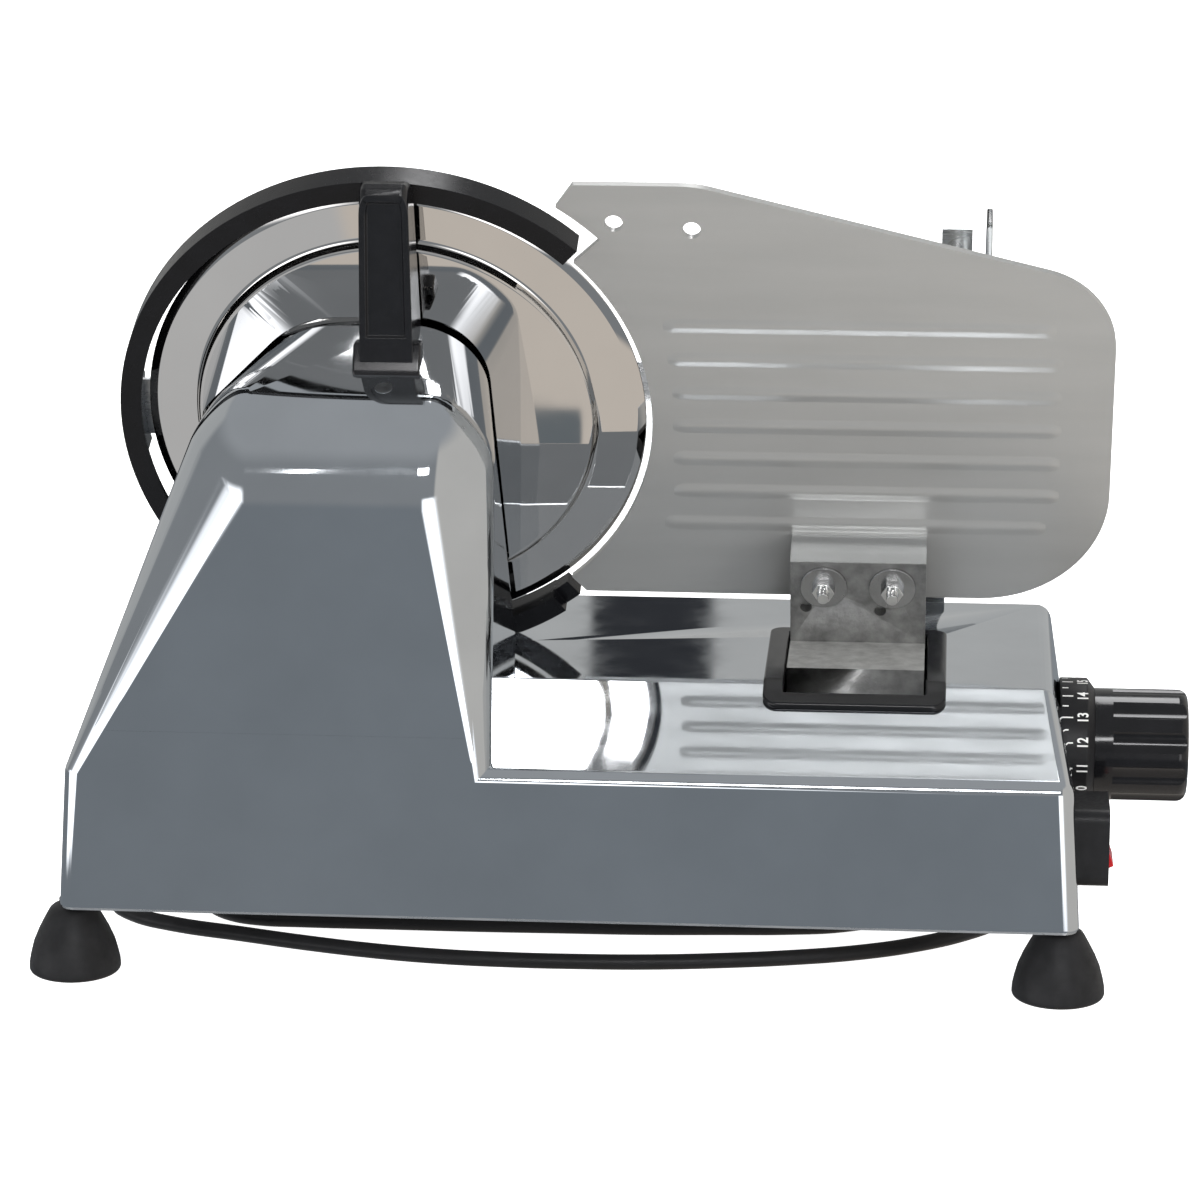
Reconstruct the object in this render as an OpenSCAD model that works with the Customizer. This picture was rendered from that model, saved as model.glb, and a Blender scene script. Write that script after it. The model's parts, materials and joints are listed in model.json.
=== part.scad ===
// Electric food slicer with a leaning round blade, a gauge plate set by a dial and a sliding food carriage.
// Millimetres. +X points to the dial end, +Y to the carriage side, +Z up. The feet stand on Z = 0.

/* [Base casting] */
// Length of the base at its lower edge
base_l = 500; // [490:1:524]
// Depth of the base at its lower edge
base_d = 228; // [222:1:250]
// Height of the base's underside above the table
base_z = 39; // [38:0.5:60]
// Height of the upright front face
front_h = 72; // [69:0.5:80]
// Depth of the sloping nose behind the front face
nose_d = 70; // [62:0.5:76]
// Rise of the sloping nose
nose_rise = 31; // [28:0.5:36]
// Rise of the deck from its crease to its back edge
deck_rise = 4; // [2:0.5:8]
// Wall thickness of the casting
wall = 5; // [4:0.25:6]
// Radius of the casting's edges
edge_r = 8; // [7:0.25:10]
// Thickness of the bottom cover
cover_t = 1.5; // [1:0.1:3]

/* [Tower] */
// Place of the tower's right wall along the base
tower_right = -36; // [-42:0.5:-32]
// Height of the shoulders' centres above the table
shoulder_z = 256; // [248:0.5:264]
// Radius of the shoulders
shoulder_r = 34; // [30:0.5:38]
// Distance between the two shoulders' centres
shoulder_span = 83; // [76:0.5:90]
// Gap from the cutting plane to the tower's back
neck_gap = 12; // [11:0.25:15]

/* [Blade] */
// Blade diameter
blade_d = 250; // [246:0.5:252]
// Lean of the blade from upright
tilt = 20; // [18:0.5:22]
// Blade centre along the base
blade_x = -93; // [-98:0.5:-88]
// Blade centre above the table
blade_z = 266; // [263:0.5:274]
// Radius of the raised middle of the blade
dish_r = 98.5; // [90:0.5:104]

/* [Guard] */
// Outer radius of the ring guard
guard_r = 138; // [134:0.5:142]
// Width of the guard's face
guard_w = 10.5; // [10:0.25:12]
// Rim wall of the guard
guard_t = 2.5; // [1.5:0.25:2.75]
// How far the guard's rim reaches past the cutting plane
guard_back = 4; // [2:0.25:5]
// Width of the guard strap
strap_w = 26; // [22:0.5:30]

/* [Gauge] */
// Thickness of the gauge plate
plate_t = 4; // [3:0.25:5]
// Gap between the blade and the gauge plate
plate_gap = 3; // [2:0.25:5]
// Horizontal travel of the gauge plate
gauge_travel = 16; // [12:0.5:17]
// Width of the plate bracket
bracket_w = 68; // [60:0.5:74]
// Number of ribs pressed into the plate
rib_count = 7; // [3:1:8]
// Distance between ribs
rib_pitch = 19.3; // [17:0.1:20]
// Diameter of the gauge guide rods
gauge_rod_d = 10; // [8:0.25:12]

/* [Dial and switch] */
// Dial axis across the base
dial_y = -8; // [-12:0.5:0]
// Dial axis above the table
dial_z = 103.5; // [101:0.5:105]
// Radius of the dial knob
knob_r = 28; // [24:0.5:31]
// Length of the dial knob
knob_l = 46.5; // [36:0.5:52]
// Radius of the scale drum
scale_r = 33; // [30:0.5:34]
// Length of the scale drum
scale_l = 17.5; // [14:0.5:22]
// Turn of the dial from closed to widest
dial_turn = 337.5; // [300:0.5:340]
// Width of the switch housing across the base
switch_w = 40; // [34:0.5:42]
// Height of the switch housing
switch_h = 39; // [34:0.5:42]
// How far the switch housing stands out of the end wall
switch_out = 16; // [13:0.5:19]

/* [Feet] */
// Radius of a foot on the table
foot_r = 23; // [20:0.5:26]
// Radius of a foot at its top
foot_top_r = 10; // [9.5:0.5:12]
// Distance of a foot's centre from the base's end
foot_inset = 6.5; // [6:0.5:14]
// Distance of a foot's centre from the base's front
foot_inset_y = 20; // [16:0.5:26]

/* [Carriage] */
// Carriage middle along the base at rest
carriage_x = 157; // [147:0.5:160]
// Stroke of the carriage
stroke = 250; // [200:1:255]
// Depth of the food tray
tray_l = 180; // [160:1:190]
// Thickness of the food tray
tray_t = 3; // [2:0.25:4]
// Diameter of the carriage slide rod
slide_rod_d = 14; // [12:0.25:16]
// Diameter of the pusher's rod
pusher_rod_d = 12; // [10:0.25:13]
// Travel of the pusher along its rod
pusher_travel = 104; // [80:1:106]

/* [Cord] */
// Diameter of the mains cord
cord_d = 7.8; // [6.5:0.1:9]

/* [Hidden] */
$fn = 64;
hull_fn = 28;
run_gap = 0.05;
slack = 0.3;
big = 900;

// Base: heights and edges that other pieces share
bx = base_l / 2;
by = base_d / 2;
draft_x = 4;
draft_y = 2;
deck_in = 12;
deck_in_y = 4;
face_top = base_z + front_h;
crease_y = -by + nose_d;
crease_z = face_top + nose_rise;
deck_z = crease_z + deck_rise;
face_y = -by + draft_y;

// Feet and their screws
foot_x = bx - foot_inset;
foot_shift = -2.5;
foot_y = by - foot_inset_y;
foot_h = base_z - cover_t;
foot_screw_r = 2;
foot_head_r = 6;
foot_head_h = 4;
foot_seat = 16;
foot_boss_r = 9;
foot_boss_h = 26;
foot_screw_up = 16;

// Blade and what stands on its axis, along the axis towards the tower
blade_r = blade_d / 2;
dish_rise = 8;
disc_t = 2.5;
edge_land = 4;
spindle_r = 7.5;
hub_r = 22;
hub_t = 6;
bearing_r = 17.5;
bearing_w = 11;
bearing_gap = 10;
housing_r = 25;
housing_flange_r = 38;
housing_flange_t = 5;
neck_bore = housing_r + 1;
housing_z = neck_gap + wall;
housing_l = 2 * bearing_w + bearing_gap + 1;
housing_screw_pcd = 31.5;
pulley_z = housing_z + housing_l + 3;
pulley_w = 15;
flange_t = 2;
belt_t = 3;
drive_r = 12;
driven_r = 34;
screw_r = 2;
screw_head_r = 3.6;
screw_head_h = 2.5;

// Tower outline at its back, in the blade's own plane
neck_a = [10, 20, 38];
neck_b = [-25, 8, 49];
neck_c = [-55, -25, 50];
tower_low = -(blade_z - face_top) / cos(tilt) + 7;

// Motor under the blade, on an axis beside the spindle's
motor_u = -45;
motor_v = -134;
motor_r = 46;
motor_z = pulley_z + pulley_w + 6;
bell_t = 10;
stator_l = 46;
core_r = 24;
core_gap = 0.6;
shaft_r = 6;

// Guard: angles are counted from the dial side, anticlockwise seen from the tower
guard_a0 = 47;
guard_a1 = 243;
guard_face_t = 3;
guard_in = guard_r - guard_w;
guard_face_z = neck_gap - guard_face_t;
guard_screw_r = guard_in + (guard_w - guard_t) / 2;
guard_screw_angles = [216, 236];
strap_x = -90;
strap_screw_pitch = 12;
strap_back = 14;
strap_foot = 10;
strap_lip = 1.5;
strap_flare = 78;
strap_flare_w = 3.5;
strap_screw_r = 4.25;
strap_screw_run = 50.5;
tab_w = 32;
tab_screw_pitch = 18;
tab_span = 18;
end_a = -73;
end_span = 19.5;
end_nose = 3.8;
end_slope = 7;

// Gauge plate outline in the blade's plane, and its bracket
plate_z = -0.5;
plate_top = 133;
plate_low = -104;
plate_left = 60;
plate_flat = 150;
plate_hi = [311, 44, 45];
plate_lo = [292, -40, 64];
plate_hole_r = 4.5;
plate_holes = [[111.5, 112], [149.3, 108.8]];
plate_step = [83, 120];
plate_step_x = 92;
plate_cut_a = -48.4;
notch_a = 44.5;
notch_r = guard_r + 8.5;
rib_v = 55;
rib_u0 = 138;
rib_u1 = 329;
rib_h = 1.2;
rib_w = 8;
bracket_x = 138.5;
bracket_u = bracket_x - blade_x;
bracket_t = 25;
bracket_top = -66.7;
bracket_low = -121;
bracket_z = plate_z + plate_t;
bolt_v = -81;
bolt_pitch = 34.5;
bolt_r = 3;
nut_r = 5.8;
nut_h = 5;
stud_l = 5;
washer_r = 11.8;
washer_t = 2;
bezel_t = 3;
foot_top = deck_z + bezel_t - 1;
arm_back = 5;
arm_y0 = crease_y + 6;
arm_y1 = -bracket_low * sin(tilt) - bracket_z * cos(tilt) - arm_back;
arm_low = crease_z - 24;
slot_gap = 1.5;
slot_y0 = arm_y0 - gauge_travel - slot_gap;
slot_y1 = arm_y1 + slot_gap;
bezel_w = bracket_w + 22;
bezel_edge = 8;

// Gauge slide, its rods and the scroll that drives its pin
slide_w = bracket_w - 8;
slide_h = 25;
slide_top = arm_low;
rod_pitch = 40;
rod_z = slide_top - slide_h / 2;
gauge_rod_r = gauge_rod_d / 2;
rod_boss_r = gauge_rod_r + 4;
rod_boss_l = 14;
rod_end = by - 10.5;
pin_r = 2.5;
pin_gap = 0.4;
scroll_r0 = 10;
scroll_rate = gauge_travel / dial_turn;
scroll_t = 9;
scroll_lead = asin((pin_r + pin_gap) / scroll_r0) + 3;
scroll_tail = asin((pin_r + pin_gap) / (scroll_r0 + gauge_travel)) + 5;
groove_d = 5;
scroll_r = scroll_r0 + gauge_travel + pin_r + pin_gap + 2.6;
scroll_x = bracket_x + slide_w / 2 + 27;
dial_spindle_r = 5;
bush_r = 10;
dial_bush_l = 11;
drum_out = 2.3;
drum_slope = 3.8;
pocket_gap = 0.8;
scale_x = bx - deck_in + drum_out;
pocket_x = scale_x - pocket_gap;
knob_x = scale_x + scale_l;
knob_end = knob_x + knob_l;
knob_round = 5;
flute_n = 10;
flute_r = 10;
flute_depth = 2;
flute_from = 9;

// Switch on the end wall
switch_y0 = -by + 19;
switch_z0 = base_z + 16.5;
switch_x0 = bx - 8;
switch_x1 = bx - 2 + switch_out;
rocker_x = switch_x1 - 5.5;
rocker_y = switch_y0 + switch_w / 2;
rocker_z = switch_z0 + switch_h / 2;
rocker_w = 22;
rocker_l = 25;
rocker_tilt = 6;
rocker_pin_r = 1.5;

// Carriage: the tray stands square to the gauge plate, its rods on the base's far wall
tray_gap = 7;
tray_v = -95;
tray_u0 = carriage_x - blade_x - 145;
tray_u1 = carriage_x - blade_x + 43;
tray_z0 = -tray_gap - tray_l;
tray_wall_h = 40;
tray_wall_t = 4;
lip_h = 13;
post_w = 16;
post_t = 12;
post_h = 104;
pusher_u = tray_u1 - 15;
pusher_v = tray_v + 92;
pusher_rod_r = pusher_rod_d / 2;
rod_y = by + 22;
rod_h = base_z + 34;
slide_rod_r = slide_rod_d / 2;
rail_s = 10;
rail_z = base_z + 6;
block_w = 60;
block_d = 28;
block_h = 28;
bush_l = 16;
bush_t = 3;
rod_block_w = 18;
rod_block_x0 = carriage_x - block_w / 2 - stroke - 12;
rod_block_x1 = carriage_x + block_w / 2 + 15;
arm_w = 50;
arm_t = 18;
arm_z = rod_h + block_h / 2;
lock_z = arm_z + 62;
lock_stem_r = 4;
lock_r = 17;
lock_l = 18;
handle_u = carriage_x - blade_x - 2;
handle_z = tray_z0 - 13;
handle_r = 12;
handle_h = 62;
handle_foot = 8;
guard_sheet_t = 3;
sleeve_z0 = tray_z0 + 22 + pusher_travel;
sleeve_l = 30;
sleeve_r = 9;
sleeve_flange = 11.5;
sleeve_flange_t = 4;
knuckle_r = 12.5;
knuckle_l = 16;
pusher_t = 8;
pusher_z = sleeve_z0 + sleeve_l / 2;
pusher_w = 127;
pusher_h = 66;
spike_l = 7;
rod_cap = 4;

// Cord: where it leaves the far wall, and its route on the table
gland_x = 57 - bx;
gland_z = 66;
gland_r = 8;
gland_collar_r = 11;
gland_collar_t = 6;
gland_boot = 34;
gland_end = by + gland_collar_t + gland_boot;
cord_r = cord_d / 2;
cord_floor = cord_r + 0.1;
plug_z = 12;
plug_x0 = gland_x + 87;
plug_y = 38;
cord_sides = 10;
cord_on_table = [
    [-1, 166], [-3, 140], [-8, 110], [-19, 75], [-35, 45], [-47, 20], [-49, -2], [-37, -20], [-13, -34],
    [23, -46], [57, -57], [91, -66], [125, -72], [160, -74.5], [195, -74.5], [231, -72.5], [267, -67.5],
    [303, -60], [335, -50], [363, -36], [389, -16], [410, 10], [423, 34], [423, 58], [409, 74],
    [389, 77], [370, 66], [361, 46], [357, 24], [346, 5], [326, -8], [299, -14], [265, -17], [225, -20],
    [185, -21], [140, -22], [95, -22], [50, -22], [29, -21], [13, -15], [2, -3], [-1, 12], [5, 27],
    [18, 36]];
cord_route = concat([[gland_x, gland_end, gland_z], [gland_x, gland_end + 12, gland_z],
    [gland_x, gland_end + 28, gland_z - 4], [gland_x, gland_end + 39, gland_z - 15],
    [gland_x, gland_end + 43, gland_z - 31], [gland_x, gland_end + 39, 19], [gland_x, gland_end + 28, 8]],
    [for (p = cord_on_table) [gland_x + p[0], p[1], cord_floor]],
    [[plug_x0 - 54, plug_y, plug_z * 0.44], [plug_x0 - 38, plug_y, plug_z * 0.68],
    [plug_x0 - 24, plug_y, plug_z * 0.91], [plug_x0 - 12, plug_y, plug_z], [plug_x0, plug_y, plug_z]]);

// The part stands with the middle of its own box, cord aside, over the origin
left_end = foot_shift - foot_x - foot_r;
far_end = -(tray_v - tray_t) * sin(tilt) - (handle_z - handle_foot) * cos(tilt);
near_end = -foot_y - foot_r;
centre_x = (left_end + knob_end) / 2;
centre_y = (near_end + far_end) / 2;

module at_origin() {
    translate([-centre_x, -centre_y, 0]) children();
}

// The blade's own frame: X along the base, Y up the blade, Z out of it towards the tower
module on_blade() {
    translate([blade_x, 0, blade_z]) rotate([90 + tilt, 0, 0]) children();
}

module rod_x(x0, x1, r) {
    translate([x0, 0, 0]) rotate([0, 90, 0]) cylinder(r = r, h = x1 - x0);
}

module rod_y(y0, y1, r) {
    translate([0, y0, 0]) rotate([-90, 0, 0]) cylinder(r = r, h = y1 - y0);
}

module rod_z(z0, z1, r) {
    translate([0, 0, z0]) cylinder(r = r, h = z1 - z0);
}

module box(low, high) {
    translate(low) cube(high - low);
}

// A flat outline in Y and Z, thick along X
module slab_x(x0, x1) {
    translate([x0, 0, 0]) rotate([90, 0, 90]) linear_extrude(x1 - x0) children();
}

module round_plate(w, d, r) {
    square([w - 2 * r, d], center = true);
    square([w, d - 2 * r], center = true);
    for (sx = [-1, 1], sy = [-1, 1])
        translate([sx * (w / 2 - r), sy * (d / 2 - r)]) circle(r);
}

function arc(c, a0, a1, n) = [for (i = [0 : n]) let (a = a0 + (a1 - a0) * i / n)
    [c[0] + c[2] * cos(a), c[1] + c[2] * sin(a)]];

// Base block with its sloping nose, grown by g, or shrunk for the hollow
module deck_form(g) {
    drop = g < 0 ? 2 : 0;
    hull() for (sx = [-1, 1]) {
        for (sy = [-1, 1])
            translate([sx * (bx - edge_r), sy * (by - edge_r), base_z - drop])
                cylinder(r = edge_r + g, h = 1, $fn = hull_fn);
        translate([sx * (bx - draft_x - edge_r), face_y + edge_r, face_top - 0.6 * edge_r])
            sphere(edge_r + g, $fn = hull_fn);
        translate([sx * (bx - deck_in - edge_r), crease_y, crease_z - edge_r])
            sphere(edge_r + g, $fn = hull_fn);
        translate([sx * (bx - deck_in - edge_r), by - deck_in_y - edge_r, deck_z - edge_r])
            sphere(edge_r + g, $fn = hull_fn);
    }
}

// Tower: upright front face, two round shoulders and a neck that leans back to the blade
module tower_form(g) {
    hull() {
        for (x = [-bx + draft_x + edge_r, tower_right - edge_r])
            translate([x, face_y + edge_r, face_top - 0.6 * edge_r]) sphere(edge_r + g, $fn = hull_fn);
        for (i = [0, 1])
            translate([tower_right - shoulder_r - i * shoulder_span, face_y + shoulder_r, shoulder_z])
                sphere(shoulder_r + g, $fn = hull_fn);
        on_blade() for (c = [neck_a, neck_b, neck_c])
            translate([c[0], c[1], neck_gap - g]) cylinder(r = c[2] + g, h = 1, $fn = 2 * hull_fn);
        on_blade() for (u = [-bx + draft_x + edge_r - blade_x, tower_right - edge_r - blade_x])
            translate([u, tower_low, neck_gap - g]) cylinder(r = edge_r + g, h = 1, $fn = hull_fn);
    }
}

module at_feet() {
    for (sx = [-1, 1], sy = [-1, 1]) translate([sx * foot_x + foot_shift, sy * foot_y, 0]) children();
}

module at_gauge_rods() {
    for (s = [-1, 1]) translate([bracket_x + s * rod_pitch / 2, 0, rod_z]) children();
}

module at_guard_screws() {
    for (a = guard_screw_angles) rotate(a) translate([guard_screw_r, 0, 0]) children();
    for (s = [-1, 1]) rotate(acos((strap_x - blade_x + s * strap_screw_pitch / 2) / guard_screw_r))
        translate([guard_screw_r, 0, 0]) children();
}

module base_casting() color("slategray") difference() {
    union() {
        difference() {
            union() {
                deck_form(0);
                tower_form(0);
            }
            deck_form(-wall);
            tower_form(-wall);
        }
        intersection() {
            deck_form(-wall / 2);
            union() {
                at_feet() rod_z(base_z, base_z + foot_boss_h, foot_boss_r);
                on_dial() rod_x(pocket_x - wall, bx, scale_r + wall);
                at_gauge_rods() {
                    rod_y(-by, -by + wall + rod_boss_l, rod_boss_r);
                    rod_y(by - wall - rod_boss_l, by, rod_boss_r);
                }
            }
        }
    }
    at_feet() rod_z(base_z - 1, base_z + foot_screw_up, foot_screw_r);
    at_gauge_rods() rod_y(-rod_end, rod_end, gauge_rod_r);
    box([bracket_x - bracket_w / 2 - 1, slot_y0, face_top], [bracket_x + bracket_w / 2 + 1, slot_y1, big]);
    on_dial() {
        rod_x(pocket_x, bx + 10, scale_r + pocket_gap);
        rod_x(bx - 40, bx + 10, bush_r);
    }
    box([bx - 20, switch_y0 + 8, switch_z0 + 8], [bx + 10, switch_y0 + switch_w - 8, switch_z0 + switch_h - 8]);
    translate([gland_x, 0, gland_z]) rod_y(by - 20, by + 5, gland_r);
    on_blade() {
        rod_z(neck_gap - 1, housing_z + 1, neck_bore);
        for (a = [90, 210, 330]) rotate(a) translate([housing_screw_pcd, 0, 0])
            rod_z(neck_gap - 1, housing_z + 1, screw_r);
        at_guard_screws() rod_z(neck_gap - 1, housing_z + 3, screw_r);
    }
    strap_screw_place() rod_z(-9, 5, strap_screw_r);
}

module bottom_cover() color("silver") difference() {
    translate([0, 0, foot_h]) linear_extrude(cover_t) round_plate(base_l - 2, base_d - 2, edge_r - 1);
    at_feet() rod_z(0, base_z + 1, foot_screw_r);
    for (x = [-190 : 12 : -94])
        box([x - 2.5, -40, 0], [x + 2.5, 0, base_z + 1]);
}

module rubber_feet() color("black") at_feet() difference() {
    rotate_extrude() polygon(concat([[0, 0], [foot_r - 2.5, 0]],
        arc([foot_r - 2.5, 2.5, 2.5], -90, 10, 5),
        [[foot_r - 1.1, foot_h * 0.21], [foot_r - 4.1, foot_h * 0.42], [foot_r - 7.7, foot_h * 0.64],
         [foot_top_r + 2, foot_h * 0.84], [foot_top_r, foot_h], [0, foot_h]]));
    rod_z(-1, foot_seat, foot_head_r + 1);
    rod_z(0, foot_h + 1, foot_screw_r);
}

module foot_screws() color("silver") at_feet() {
    rod_z(foot_seat, base_z + foot_screw_up - 1, foot_screw_r);
    rod_z(foot_seat - foot_head_h, foot_seat, foot_head_r);
}

module ring_guard() color("black") on_blade() difference() {
    union() {
        rotate(guard_a0) rotate_extrude(angle = guard_a1 - guard_a0) {
            translate([guard_in, guard_face_z]) square([guard_w, guard_face_t]);
            translate([guard_r - guard_t, -guard_back]) square([guard_t, guard_back + neck_gap]);
        }
        rotate(180 - tab_span / 2) rotate_extrude(angle = tab_span) translate([guard_in + 0.5, 1 - guard_back])
            square([guard_w - guard_t, guard_back + guard_face_z - 0.5]);
    }
    at_guard_screws() rod_z(-guard_back, neck_gap + 1, screw_r);
    box([-guard_r - 1, -tab_w / 2 - slack, -guard_back - 1], [-guard_in + 20, tab_w / 2 + slack, -1]);
    for (s = [-1, 1]) translate([-guard_screw_r, s * tab_screw_pitch / 2, 0]) rod_z(-2, 7, screw_r);
}

module guard_end_block() color("black") difference() {
    on_blade() {
        rotate(end_a) rotate_extrude(angle = end_span)
            translate([guard_in, -guard_back]) square([guard_w, guard_back + neck_gap]);
        rotate(end_a + end_span - 1) rotate_extrude(angle = end_nose + 1)
            translate([guard_in + slack, slack - guard_back])
            square([guard_w - 2 * slack, guard_back + neck_gap - end_slope]);
    }
    deck_form(slack);
}

module guard_screws() color("silver") on_blade() at_guard_screws() {
    rod_z(guard_face_z, neck_gap + wall - 0.5, screw_r);
    rod_z(guard_face_z - screw_head_h, guard_face_z, screw_head_r);
}

// Strap from the guard's top down to the neck, thicker at its foot
module guard_strap() color("dimgray") difference() {
    y_top = -guard_screw_r * sin(tilt) - neck_gap * cos(tilt);
    z_top = blade_z + guard_r * cos(tilt) - neck_gap * sin(tilt);
    union() {
        slab_x(strap_x - strap_w / 2, strap_x + strap_w / 2)
            polygon([[y_top + 8, shoulder_z], [y_top + 8, z_top - 4], [y_top - 3, z_top + 1],
                [y_top - 9, z_top], [y_top - 13, z_top - 6], [y_top - strap_back, z_top - 14],
                [y_top - strap_foot, z_top - strap_flare], [y_top - strap_foot, shoulder_z]]);
        slab_x(strap_x - strap_w / 2 - strap_flare_w, strap_x + strap_w / 2 + strap_flare_w)
            polygon([[y_top + 4, shoulder_z], [y_top + 4, z_top - strap_flare],
                [y_top - strap_foot + 4, z_top - strap_flare],
                [y_top - strap_foot - strap_lip, z_top - strap_flare - 12],
                [y_top - strap_foot - strap_lip, shoulder_z]]);
    }
    tower_form(0);
    on_blade() {
        box([-big, -big, -big], [big, big, neck_gap]);
        at_guard_screws() rod_z(0, neck_gap + wall, screw_r);
    }
}

// Screw in front of the strap's foot, square to the neck's top
module strap_screw_place() {
    run = neck_b[1] + neck_b[2];
    y0 = -run * sin(tilt) - neck_gap * cos(tilt);
    z0 = blade_z + run * cos(tilt) - neck_gap * sin(tilt);
    y1 = face_y + shoulder_r;
    reach = sqrt((y0 - y1) * (y0 - y1) + (z0 - shoulder_z) * (z0 - shoulder_z));
    fall = atan2(z0 - shoulder_z, y0 - y1) - asin(shoulder_r / reach);
    translate([strap_x, y0 - strap_screw_run * cos(fall), z0 - strap_screw_run * sin(fall)])
        rotate([fall, 0, 0]) children();
}

module strap_screw() color("silver") strap_screw_place() rod_z(-8, 0.6, strap_screw_r);

module slot_bezel() color("black") difference() {
    intersection() {
        deck_form(bezel_t);
        translate([bracket_x, (slot_y0 + slot_y1) / 2, face_top])
            linear_extrude(big) round_plate(bezel_w, slot_y1 - slot_y0 + 2 * bezel_edge, 7);
    }
    deck_form(0);
    box([bracket_x - bracket_w / 2 - 1, slot_y0, face_top], [bracket_x + bracket_w / 2 + 1, slot_y1, big]);
}

module switch_housing() color("black") difference() {
    union() {
        translate([0, rocker_y, rocker_z]) rotate([90, 0, 90]) translate([0, 0, switch_x0])
            linear_extrude(switch_x1 - switch_x0) round_plate(switch_w, switch_h, 6);
    }
    deck_form(0);
    box([rocker_x - 7, rocker_y - rocker_w / 2 - slack, rocker_z - rocker_l / 2 - 2],
        [switch_x1 + 1, rocker_y + rocker_w / 2 + slack, rocker_z + rocker_l / 2 + 2]);
    translate([rocker_x, rocker_y, rocker_z])
        rod_y(-rocker_w / 2 - 2, rocker_w / 2 + 2, rocker_pin_r + run_gap);
}

module switch_rocker() color("red") translate([rocker_x, rocker_y, rocker_z]) rotate([0, -rocker_tilt, 0]) {
    half = rocker_l / 2;
    translate([0, rocker_w / 2, 0]) rotate([90, 0, 0]) linear_extrude(rocker_w)
        polygon([[-4, -half], [4, -half], [7, -half + 1], [4.5, 0], [7, half - 1], [4, half], [-4, half]]);
    rod_y(-rocker_w / 2 - 1.5, rocker_w / 2 + 1.5, rocker_pin_r);
}

module at_motor() {
    on_blade() translate([motor_u, motor_v, motor_z]) children();
}

module motor_stator() color("gray") at_motor() difference() {
    rod_z(bell_t, bell_t + stator_l, motor_r);
    rod_z(0, big, core_r + core_gap);
}

module motor_bells() color("silver") at_motor() for (z = [0, bell_t + stator_l]) difference() {
    rod_z(z, z + bell_t, motor_r);
    rod_z(-1, big, shaft_r + run_gap);
}

module motor_cradle() color("dimgray") difference() {
    y_mid = -motor_v * sin(tilt) - (motor_z + bell_t + stator_l / 2) * cos(tilt);
    box([blade_x + motor_u - 32, y_mid - 18, base_z], [blade_x + motor_u + 32, y_mid + 18, base_z + 36]);
    at_motor() rod_z(-50, big, motor_r);
}

module motor_rotor() color("silver") at_motor() {
    rod_z(pulley_z - motor_z - 2, 2 * bell_t + stator_l - 1, shaft_r);
    rod_z(bell_t + 3, bell_t + stator_l - 3, core_r);
}

module pulley(r, bore) {
    difference() {
        union() {
            rod_z(0, pulley_w, r);
            for (z = [0, pulley_w - flange_t]) rod_z(z, z + flange_t, r + belt_t - 0.5);
        }
        rod_z(-1, pulley_w + 1, bore);
    }
}

module motor_pulley() color("silver") on_blade() translate([motor_u, motor_v, pulley_z]) pulley(drive_r, shaft_r);

module blade_pulley() color("silver") on_blade() translate([0, 0, pulley_z]) pulley(driven_r, spindle_r);

module drive_belt() color("black") on_blade() translate([0, 0, pulley_z + flange_t + 0.5])
    linear_extrude(pulley_w - 2 * flange_t - 1) difference() {
        belt_loop(belt_t + slack);
        belt_loop(slack);
    }

module belt_loop(out) {
    hull() {
        circle(driven_r + out);
        translate([motor_u, motor_v]) circle(drive_r + out);
    }
}

module spindle_housing() color("gray") on_blade() difference() {
    union() {
        rod_z(housing_z, housing_z + housing_l, housing_r);
        rod_z(housing_z, housing_z + housing_flange_t, housing_flange_r);
    }
    rod_z(housing_z - 1, housing_z + housing_l + 1, bearing_r);
    for (a = [90, 210, 330]) rotate(a) translate([housing_screw_pcd, 0, 0]) rod_z(0, big, screw_r);
}

module housing_screws() color("silver") on_blade() for (a = [90, 210, 330]) rotate(a)
    translate([housing_screw_pcd, 0, 0]) {
        rod_z(neck_gap + 0.5, housing_z + housing_flange_t, screw_r);
        rod_z(housing_z + housing_flange_t, housing_z + housing_flange_t + screw_head_h, screw_head_r);
    }

module spindle_bearings() color("lightgray") on_blade()
    for (z = [housing_z + 1, housing_z + 1 + bearing_w + bearing_gap]) difference() {
        rod_z(z, z + bearing_w, bearing_r);
        rod_z(0, big, spindle_r + run_gap);
    }

module blade_spindle() color("silver") on_blade() difference() {
    union() {
        rod_z(dish_rise - disc_t - 1, pulley_z + pulley_w + 3, spindle_r);
        rod_z(dish_rise, dish_rise + hub_t, hub_r);
    }
    at_blade_screws() rod_z(0, dish_rise + hub_t - 0.5, screw_r + 0.5);
}

module at_blade_screws() {
    for (a = [0, 120, 240]) rotate(a) translate([hub_r - 8, 0, 0]) children();
}

module blade() color("gainsboro") on_blade() difference() {
    rotate_extrude($fn = 128) polygon([[spindle_r, dish_rise - disc_t], [dish_r - 3, dish_rise - disc_t],
        [dish_r + 1, 0.4], [blade_r, 0], [blade_r - edge_land, 1.8], [dish_r + 3, 3.2], [dish_r, dish_rise],
        [spindle_r, dish_rise]]);
    at_blade_screws() rod_z(0, dish_rise + 1, screw_r + 0.5);
}

module blade_screws() color("silver") on_blade() at_blade_screws() {
    rod_z(dish_rise - disc_t, dish_rise + hub_t - 1, screw_r + 0.5);
    rod_z(dish_rise - disc_t - 2, dish_rise - disc_t, screw_r + 2);
}

module blade_cover() color("silver") on_blade() difference() {
    union() {
        rod_z(-3.5, -1, dish_r - 4);
        box([-guard_screw_r - 4, -tab_w / 2, -3.5], [-dish_r + 10, tab_w / 2, -1]);
    }
    for (s = [-1, 1]) translate([-guard_screw_r, s * tab_screw_pitch / 2, 0]) rod_z(-4, 0, screw_head_r);
}

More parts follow.
